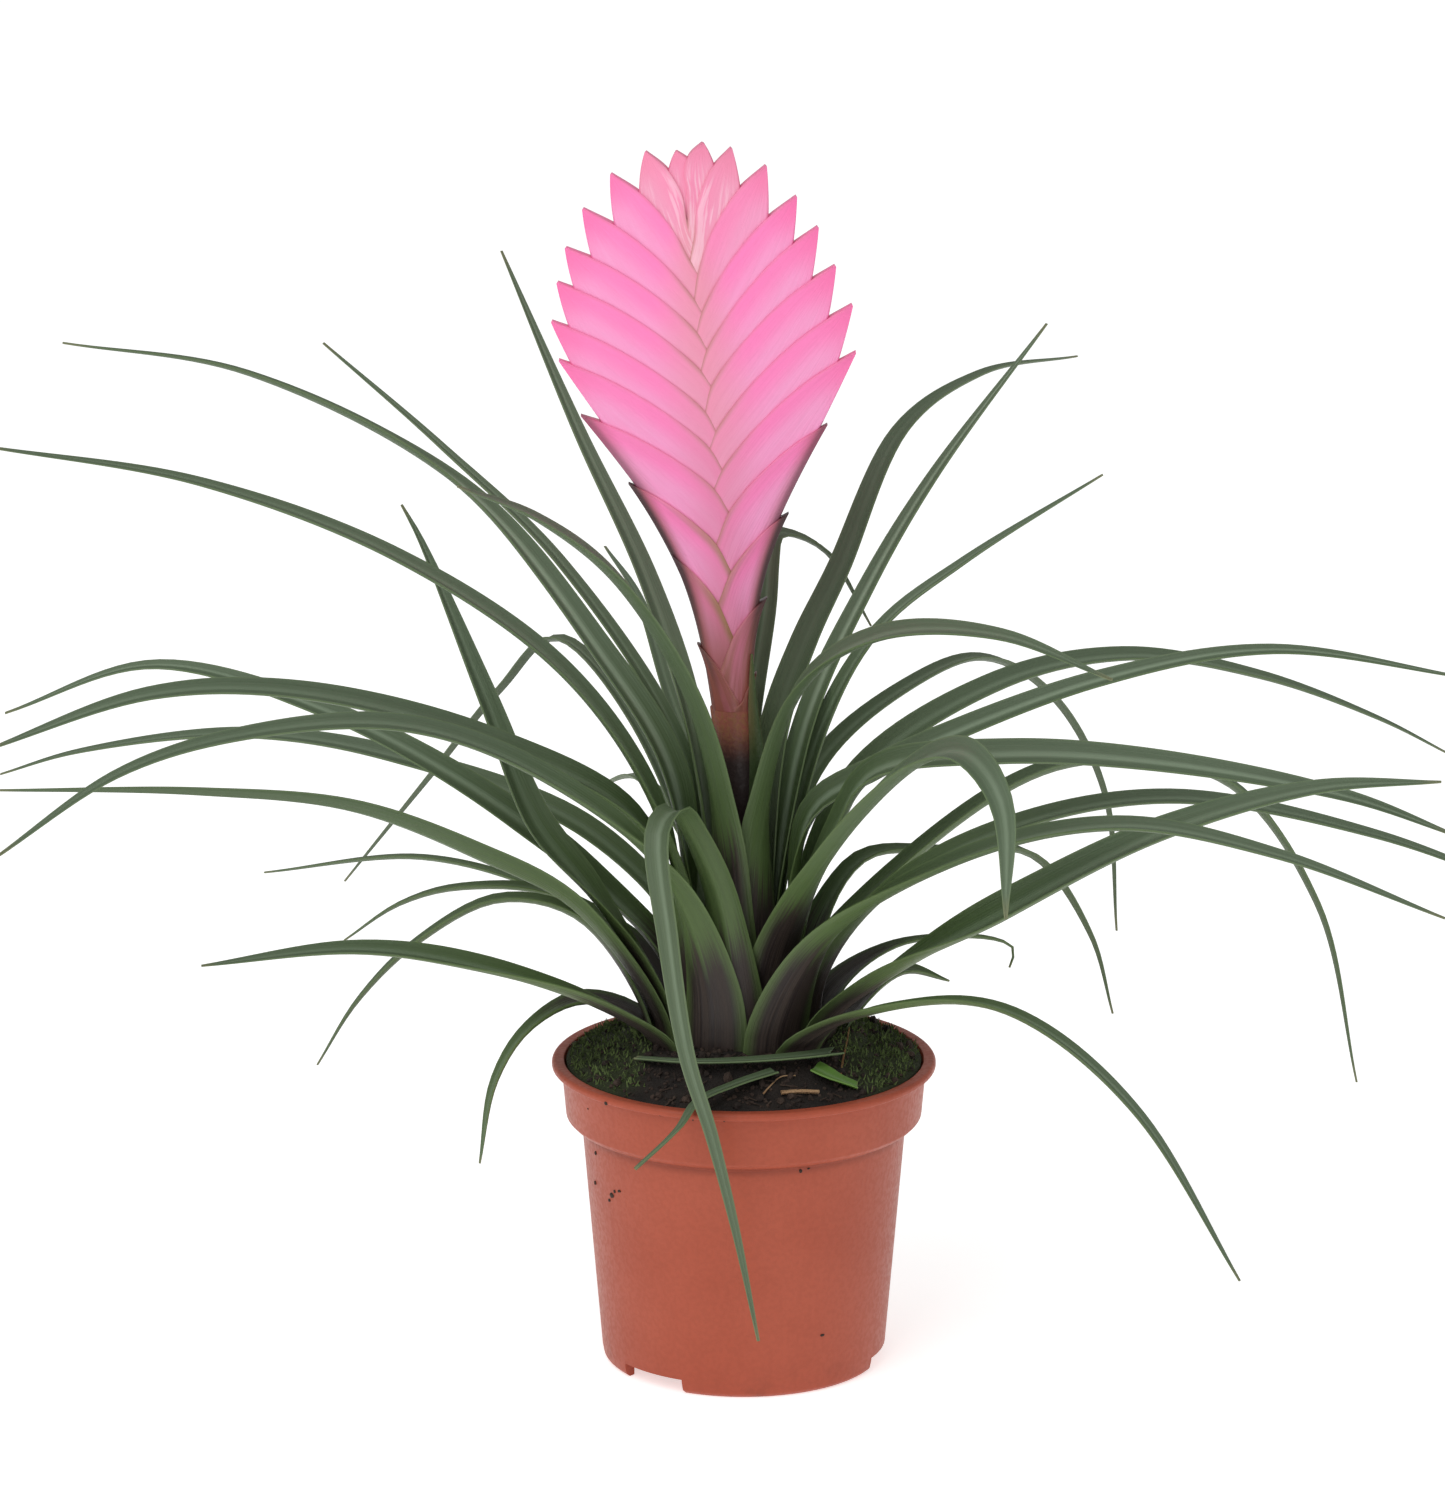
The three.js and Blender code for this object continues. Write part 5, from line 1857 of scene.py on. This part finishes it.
RANKS = {
    Side.LEFT: (
        Bract((-0.0110, 0.1730), (-0.0055, 0.1675), (-0.0005, 0.1585)),
        Bract((-0.0170, 0.1940), (-0.0060, 0.1835), (-0.0025, 0.1755)),
        Bract((-0.0270, 0.2110), (-0.0065, 0.1975), (-0.0030, 0.1910)),
        Bract((-0.0380, 0.2270), (-0.0070, 0.2105), (-0.0035, 0.2050)),
        Bract((-0.0430, 0.2400), (-0.0080, 0.2200), (-0.0050, 0.2150)),
        Bract((-0.0445, 0.2490), (-0.0090, 0.2285), (-0.0065, 0.2240)),
        Bract((-0.0430, 0.2580), (-0.0100, 0.2380), (-0.0075, 0.2345)),
        Bract((-0.0410, 0.2660), (-0.0110, 0.2470), (-0.0085, 0.2430)),
        Bract((-0.0370, 0.2750), (-0.0115, 0.2545), (-0.0095, 0.2515)),
        Bract((-0.0305, 0.2830), (-0.0125, 0.2635), (-0.0105, 0.2605)),
        Bract((-0.0225, 0.2880), (-0.0130, 0.2720), (-0.0115, 0.2685)),
        Bract((-0.0155, 0.2880), (-0.0105, 0.2790), (-0.0110, 0.2720), lift=0.0002),
    ),
    Side.RIGHT: (
        Bract((0.0030, 0.1660), (-0.0005, 0.1600), (-0.0025, 0.1585)),
        Bract((0.0055, 0.1840), (-0.0025, 0.1755), (-0.0055, 0.1675)),
        Bract((0.0105, 0.2040), (-0.0030, 0.1910), (-0.0060, 0.1835)),
        Bract((0.0195, 0.2250), (-0.0035, 0.2050), (-0.0065, 0.1975)),
        Bract((0.0260, 0.2420), (-0.0050, 0.2150), (-0.0070, 0.2105)),
        Bract((0.0250, 0.2530), (-0.0065, 0.2240), (-0.0080, 0.2200)),
        Bract((0.0210, 0.2620), (-0.0075, 0.2345), (-0.0090, 0.2285)),
        Bract((0.0170, 0.2710), (-0.0085, 0.2430), (-0.0100, 0.2380)),
        Bract((0.0120, 0.2780), (-0.0095, 0.2520), (-0.0110, 0.2470)),
        Bract((0.0050, 0.2850), (-0.0105, 0.2610), (-0.0115, 0.2545)),
        Bract((-0.0030, 0.2890), (-0.0115, 0.2685), (-0.0125, 0.2635)),
        Bract((-0.0095, 0.2900), (-0.0130, 0.2790), (-0.0130, 0.2680)),
    ),
}
AXIS = (
    (0.070, 0.0), (0.140, -0.0005), (0.165, -0.0035), (0.200, -0.0055), (0.234, -0.008),
    (0.270, -0.0115), (0.284, -0.012),
)


def bezier(start: Vector, pull: Vector, end: Vector, share: float) -> Vector:
    """Gives a point of a curve from one place to another that a third place pulls."""
    return (1.0 - share) ** 2 * start + 2.0 * share * (1.0 - share) * pull + share ** 2 * end


@dataclass(frozen=True)
class FlowerSpike:
    """The flat paddle of overlapping bracts on its stalk."""

    foot_level: float = 0.151
    top_level: float = 0.290
    core: tuple[Pair, ...] = (
        (0.0, 0.156), (0.0042, 0.156), (0.0042, 0.172), (0.0036, 0.200), (0.003, 0.240),
        (0.0015, 0.268), (0.0, 0.276),
    )
    depths: tuple[Pair, ...] = (
        (0.151, 0.0038), (0.160, 0.0046), (0.200, 0.0045), (0.245, 0.0038), (0.270, 0.0026),
        (0.284, 0.0014), (0.290, 0.0004),
    )
    round_levels: Band = (0.158, 0.188)
    foot_reach: float = 0.0053
    core_radius: float = 0.004
    tuck: float = 0.030
    edge_half_depth: float = 0.00035
    fullness: float = 1.8
    round_fade: float = 0.5
    step_sharpness: float = 2.2
    step_starts: Band = (0.0, 0.2)
    step_at_foot: float = 0.5
    step_lost: float = 0.5
    clasp: tuple[Pair, ...] = ((0.158, 0.0048), (0.185, 0.001))
    keel_bow: Band = (0.37, 0.9)
    keel_bow_levels: Band = (0.232, 0.264)
    keel_sag: float = 0.24
    keel_thinning: float = 0.4
    crown: tuple[Pair, ...] = ((0.274, 0.0), (0.283, 0.003), (0.290, 0.0085))
    crown_share_of_edge: float = 0.45
    free_edge_bow: float = 0.40
    free_edge_rise: float = 0.66
    free_edge_shares: tuple[float, ...] = (0.0, 0.3, 0.65, 1.0)
    blunt_tip: float = 0.985
    faces_along: int = 36
    faces_across: int = 24
    core_steps: int = 24
    lip: float = 0.06
    lip_drop: float = 0.00022

    def outline_reach(self, side: Side, level: float) -> float:
        """Gives how far the tips of one rank stand from the axis at a height."""
        tips = [(self.foot_level, self.foot_reach)]
        for bract in RANKS[side]:
            x, z = bract.tip
            if z > tips[-1][0]:
                tips.append((z, abs(x - between(z, AXIS))))
        return between(level, tips)

    def paddle_depth(self, x: float, level: float) -> float:
        """Gives half of the paddle's thickness, without the steps between its bracts.

        Args:
            x: The place across.
            level: The height.

        Returns:
            Half of the thickness, which fades out towards the tips of the bracts.
        """
        offset = x - between(level, AXIS)
        side = Side.RIGHT if offset > 0.0 else Side.LEFT
        share = min(1.0, abs(offset) / self.outline_reach(side, level))
        fade = lerp(self.round_fade, 1.0, smoothstep(level, *self.round_levels))
        return between(level, self.depths) * (1.0 - share ** self.fullness) ** fade

    def step(self, lift: float, along: float, across: float) -> float:
        """Gives how far a bract stands in front of the paddle.

        Args:
            lift: The step's full height.
            along: 0 at its foot and 1 at its tip.
            across: 0 at its keel and 1 at its free edge.

        Returns:
            The height of its face, which is greatest along its free edge.
        """
        sunk = lerp(self.step_at_foot, 1.0, smoothstep(along, *self.step_starts))
        sunk *= 1.0 - self.step_lost * along
        free_lip = max(0.0, (across - (1.0 - self.lip)) / self.lip)
        return lift * sunk * across ** self.step_sharpness - self.lip_drop * free_lip ** 2

    def free_edge(self, bract: Bract, side: Side) -> Spine:
        """Lays a bract's free edge, from the place where it goes under to the tip."""
        end, cross, tip = (Vector((x, 0.0, z)) for x, z in (bract.end, bract.cross, bract.tip))
        spread = self.crown_share_of_edge * between(bract.tip[1], self.crown)
        pull = Vector((
            lerp(cross.x, tip.x, self.free_edge_bow) - side.value * spread,
            0.0,
            lerp(cross.z, tip.z, self.free_edge_rise),
        ))
        arch = [bezier(cross, pull, tip, share) for share in self.free_edge_shares]
        return Spine([end, *arch])

    def keel_points(self, bract: Bract, side: Side) -> tuple[Vector, Vector, Vector]:
        """Gives the foot, the pull and the tip of the curve that a bract's keel follows."""
        tip = Vector((bract.tip[0], 0.0, bract.tip[1]))
        cross_x, cross_z = bract.cross
        reach = abs(tip.x - cross_x)
        foot_z = max(self.foot_level, cross_z - self.tuck)
        clasp = between(foot_z, self.clasp)
        bow = lerp(*self.keel_bow, smoothstep(tip.z, *self.keel_bow_levels))
        foot = Vector((between(foot_z, AXIS) + side.value * clasp, 0.0, foot_z))
        pull = Vector((
            cross_x + side.value * (bow * reach + between(tip.z, self.crown)),
            0.0,
            cross_z - self.keel_sag * reach,
        ))
        return foot, pull, tip

    def bract_mesh(self, bract: Bract, side: Side) -> bmesh.types.BMesh:
        """Builds one bract as a closed flat boat that clasps the axis.

        Args:
            bract: The bract's places.
            side: The rank that it belongs to.

        Returns:
            Its mesh.
        """
        keel = self.keel_points(bract, side)
        edge = self.free_edge(bract, side)
        level = (bract.tip[1] - self.foot_level) / (self.top_level - self.foot_level)
        strip = Strip(self.faces_across, self.faces_along)
        strip.mark_all(level=level)
        from_keel = strip.bm.verts.layers.float.new("from_keel")
        from_edge = strip.bm.verts.layers.float.new("from_edge")
        for vert in strip.bm.verts:
            across = vert.co.x + 0.5
            along = self.blunt_tip * (vert.co.y + 0.5)
            front = 1.0 - 2.0 * vert.co.z
            keel_place, edge_place = bezier(*keel, along), edge.at(along)[0]
            width = (edge_place - keel_place).length
            vert[from_keel] = across * width
            vert[from_edge] = (1.0 - across) * width
            vert.co = keel_place.lerp(edge_place, across)
            keel_lip = max(0.0, 1.0 - across / self.lip)
            depth = self.edge_half_depth + self.paddle_depth(vert.co.x, vert.co.z)
            depth *= 1.0 - self.keel_thinning * keel_lip ** 2
            vert.co.y = -front * (depth + self.step(bract.lift, along, across))
        return strip.bm

    def build_bracts(self, material: bpy.types.Material) -> bpy.types.Object:
        """Builds both ranks of bracts round their core.

        Args:
            material: The bracts' material.

        Returns:
            The spike's piece.
        """
        bm = along_axis(self.core, self.core_steps)
        for name in ("level", "from_keel", "from_edge"):
            layer = bm.verts.layers.float.new(name)
            for vert in bm.verts:
                vert[layer] = self.core_radius
        bm.loops.layers.uv.new(BLADE_UV)
        for side, bracts in RANKS.items():
            for bract in bracts:
                join(bm, self.bract_mesh(bract, side))
        return make_piece("pink_bracts", bm, material, Slot.BRACT, "flower_spike", sharp_angle=50.0)


def along_axis(profile: Sequence[Pair], steps: int) -> bmesh.types.BMesh:
    """Turns a profile round the leaning axis of the spike.

    Args:
        profile: Points as radius and height.
        steps: Faces round the turn.

    Returns:
        The closed shell.
    """
    bm = turned(profile, steps)
    for vert in bm.verts:
        vert.co.x += between(vert.co.z, AXIS)
    return bm


@dataclass(frozen=True)
class FlowerStem:
    """The stalk under the spike, with the green bracts that clasp it.

    A clasping bract is its bearing in degrees, its lowest and highest level, and its width.
    """

    foot_level: float = 0.0704
    foot_radius: float = 0.0042
    top_radius: float = 0.0053
    top_level: float = 0.1576
    swell: Band = (0.118, 0.145)
    rows: int = 26
    steps: int = 28
    clasping: tuple[tuple[float, float, float, float], ...] = (
        (-30.0, 0.112, 0.171, 0.0094), (190.0, 0.112, 0.149, 0.0085),
    )
    clasp_spans: int = 5
    clasp_gap: float = 0.0006
    clasp_flare: float = 0.0004
    clasp_tip: float = 0.0004
    clasp_taper: float = 2.2
    clasp_half_angle: float = 0.75
    clasp_thickness: float = 0.0006
    clasp_faces: tuple[int, int] = (10, 24)
    margin_green: float = 0.7

    def radius(self, level: float) -> float:
        """Gives the stalk's radius at a level."""
        first, last = self.swell
        return between(level, ((first, self.foot_radius), (last, self.top_radius)))

    def clasp(self, bearing: float, low: float, high: float, width: float) -> bmesh.types.BMesh:
        """Builds one clasping bract.

        Args:
            bearing: The way that it looks, in degrees from +X.
            low: The level of its foot.
            high: The level of its tip.
            width: Its width at the foot.

        Returns:
            Its mesh.
        """
        points = []
        for i in range(self.clasp_spans + 1):
            share = i / self.clasp_spans
            level = lerp(low, high, share)
            reach = self.radius(level) + self.clasp_gap + self.clasp_flare * share ** 3
            points.append(polar(reach, bearing, level) + Vector((between(level, AXIS), 0.0, 0.0)))
        spine = Spine(points)
        strip = Strip(*self.clasp_faces)
        strip.mark("green", lambda place: lerp(1.0, self.margin_green, abs(2.0 * place.x)))

        def section(distance: float) -> Section:
            """Gives the cross-section at a distance from the foot."""
            kept = 1.0 - (distance / spine.length) ** self.clasp_taper
            width_here = width * kept + self.clasp_tip
            return Section(width_here, self.clasp_half_angle, self.clasp_thickness)

        strip.bend(spine, section, lambda place, forward: polar(1.0, bearing + 90.0, 0.0))
        return strip.bm

    def build(self, material: bpy.types.Material) -> bpy.types.Object:
        """Builds the stalk and its clasping bracts.

        Args:
            material: The stalk's material.

        Returns:
            The stalk's piece.
        """
        shares = [i / self.rows for i in range(self.rows + 1)]
        levels = [lerp(self.foot_level, self.top_level, share) for share in shares]
        side = [(self.radius(level), level) for level in levels]
        bm = along_axis([(0.0, self.foot_level), *side, (0.0, self.top_level)], self.steps)
        bm.verts.layers.float.new("green")
        bm.loops.layers.uv.new(BLADE_UV)
        for bract in self.clasping:
            join(bm, self.clasp(*bract))
        return make_piece("flower_stalk", bm, material, Slot.STEM, "flower_stem")


@dataclass(frozen=True)
class Studio:
    """A white floor, soft light from all round and a camera at the photograph's angle."""

    camera_place: tuple[float, float, float] = (-0.005, -1.6, 0.568)
    pitch_down_deg: float = 14.7
    lens_mm: float = 172.28
    sensor_mm: float = 36.0
    clip: Band = (0.05, 100.0)
    floor_half: float = 9.0
    floor_glow: float = 0.58
    floor_white: tuple[float, ...] = (0.9, 0.9, 0.9, 1.0)
    floor_gloss: float = 0.1
    floor_grain: float = 40.0
    floor_rough: Ramp = Ramp(Over.GRAIN, (0.0, 1.0), 0.85, 0.95)
    world_strength: float = 0.5
    key_place: tuple[float, float, float] = (-0.7, -1.1, 1.5)
    key_size: float = 1.3
    key_power: float = 14.0
    fill_place: tuple[float, float, float] = (1.1, -0.7, 1.0)
    fill_size: float = 1.2
    fill_power: float = 1.0
    aim: tuple[float, float, float] = (0.0, 0.0, 0.14)

    def build_camera(self) -> None:
        """Places the camera and makes it the scene's."""
        lens = bpy.data.cameras.new("photo view")
        lens.sensor_width = self.sensor_mm
        lens.lens = self.lens_mm
        lens.clip_start, lens.clip_end = self.clip
        camera = bpy.data.objects.new("photo view", lens)
        camera.location = self.camera_place
        camera.rotation_euler = (math.radians(90.0 - self.pitch_down_deg), 0.0, 0.0)
        bpy.context.scene.collection.objects.link(camera)
        bpy.context.scene.camera = camera

    def build_light(
        self, name: str, place: tuple[float, float, float], size: float, power: float
    ) -> None:
        """Places a soft square light that points at the plant.

        Args:
            name: Its name.
            place: Where it stands.
            size: The length of its side.
            power: Its power in watts.
        """
        lamp = bpy.data.lights.new(name, "AREA")
        lamp.size = size
        lamp.energy = power
        light = bpy.data.objects.new(name, lamp)
        light.location = place
        aim = Vector(self.aim) - Vector(place)
        light.rotation_euler = aim.to_track_quat("-Z", "Y").to_euler()
        bpy.context.scene.collection.objects.link(light)

    def build_floor(self) -> None:
        """Lays the white floor."""
        coat = Coat("white paper floor")
        plan, inputs = coat.plan, coat.shader.inputs
        coat.measures[Over.GRAIN] = plan.noise(plan.object_place(), self.floor_grain, 2.0)
        plan.tree.links.new(coat.mask(self.floor_rough), inputs["Roughness"])
        inputs["Base Color"].default_value = self.floor_white
        inputs["Specular IOR Level"].default_value = self.floor_gloss
        inputs["Emission Color"].default_value = WHITE
        inputs["Emission Strength"].default_value = self.floor_glow
        bm = bmesh.new()
        bmesh.ops.create_grid(bm, x_segments=1, y_segments=1, size=self.floor_half)
        floor = scratch_object("floor", bm)
        floor.data.materials.append(coat.material)
        floor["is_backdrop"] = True

    def build(self) -> None:
        """Sets up the camera, the floor, the lights and the surroundings."""
        self.build_camera()
        self.build_floor()
        self.build_light("key", self.key_place, self.key_size, self.key_power)
        self.build_light("fill", self.fill_place, self.fill_size, self.fill_power)
        world = bpy.data.worlds.new("white studio")
        world.use_nodes = True
        sky = world.node_tree.nodes["Background"]
        sky.inputs["Color"].default_value = WHITE
        sky.inputs["Strength"].default_value = self.world_strength
        bpy.context.scene.world = world
        bpy.context.scene.view_settings.view_transform = "Standard"


PEAT = GroundFinish(
    "peat", (34, 30, 28), (56, 48, 43), washes=(Wash("moss", (50, 56, 36), 1.0, (Over.MOSS,)),)
)
CRUMBS = GroundFinish("peat crumbs", (32, 28, 27), (76, 62, 54))
MOSS = GroundFinish("moss", (48, 55, 38), (104, 122, 70), patch_scale=420.0)
BARK = GroundFinish("bark splinter", (150, 116, 84), (178, 146, 112))
ROOT = GroundFinish("thin root", (120, 84, 56), (166, 134, 92))


def main() -> None:
    """Builds the studio and the plant, and reports each piece."""
    logging.basicConfig(level=logging.INFO, format="%(message)s")
    Studio().build()
    patterns = Patterns()
    leaf = LeafFinish().material(patterns)
    crumb, bark = CRUMBS.material(patterns), BARK.material(patterns)
    pot, ground, litter = Pot(), Ground(), Litter()
    pieces = [
        pot.build(PlasticFinish().material(patterns)),
        ground.build_bed(PEAT.material(patterns)),
        ground.build_crumbs(crumb),
        ground.build_moss(MOSS.material(patterns)),
        litter.build_pot_crumbs(pot, crumb),
        litter.build_fibre("bark_splinter", litter.splinter, ground, bark),
        litter.build_fibre("pale_root", litter.pale_root, ground, bark),
        litter.build_fibre("red_root", litter.red_root, ground, ROOT.material(patterns)),
        FlowerStem().build(StemFinish().material(patterns)),
        FlowerSpike().build_bracts(BractFinish().material(patterns)),
        *Rosette().build(leaf),
        *(cut_leaf.build(leaf) for cut_leaf in CUT_LEAVES),
    ]
    for piece in pieces:
        LOG.info("%s: %d faces", piece.name, len(piece.data.polygons))


def write_sizes() -> None:
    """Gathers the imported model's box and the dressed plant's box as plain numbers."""
    boxes = {"cad": CAD_BOX, "visual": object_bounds()}
    plain = {
        name: [[float(number) for number in corner] for corner in box]
        for name, box in boxes.items()
    }


if __name__ == "__main__":
    main()
    write_sizes()
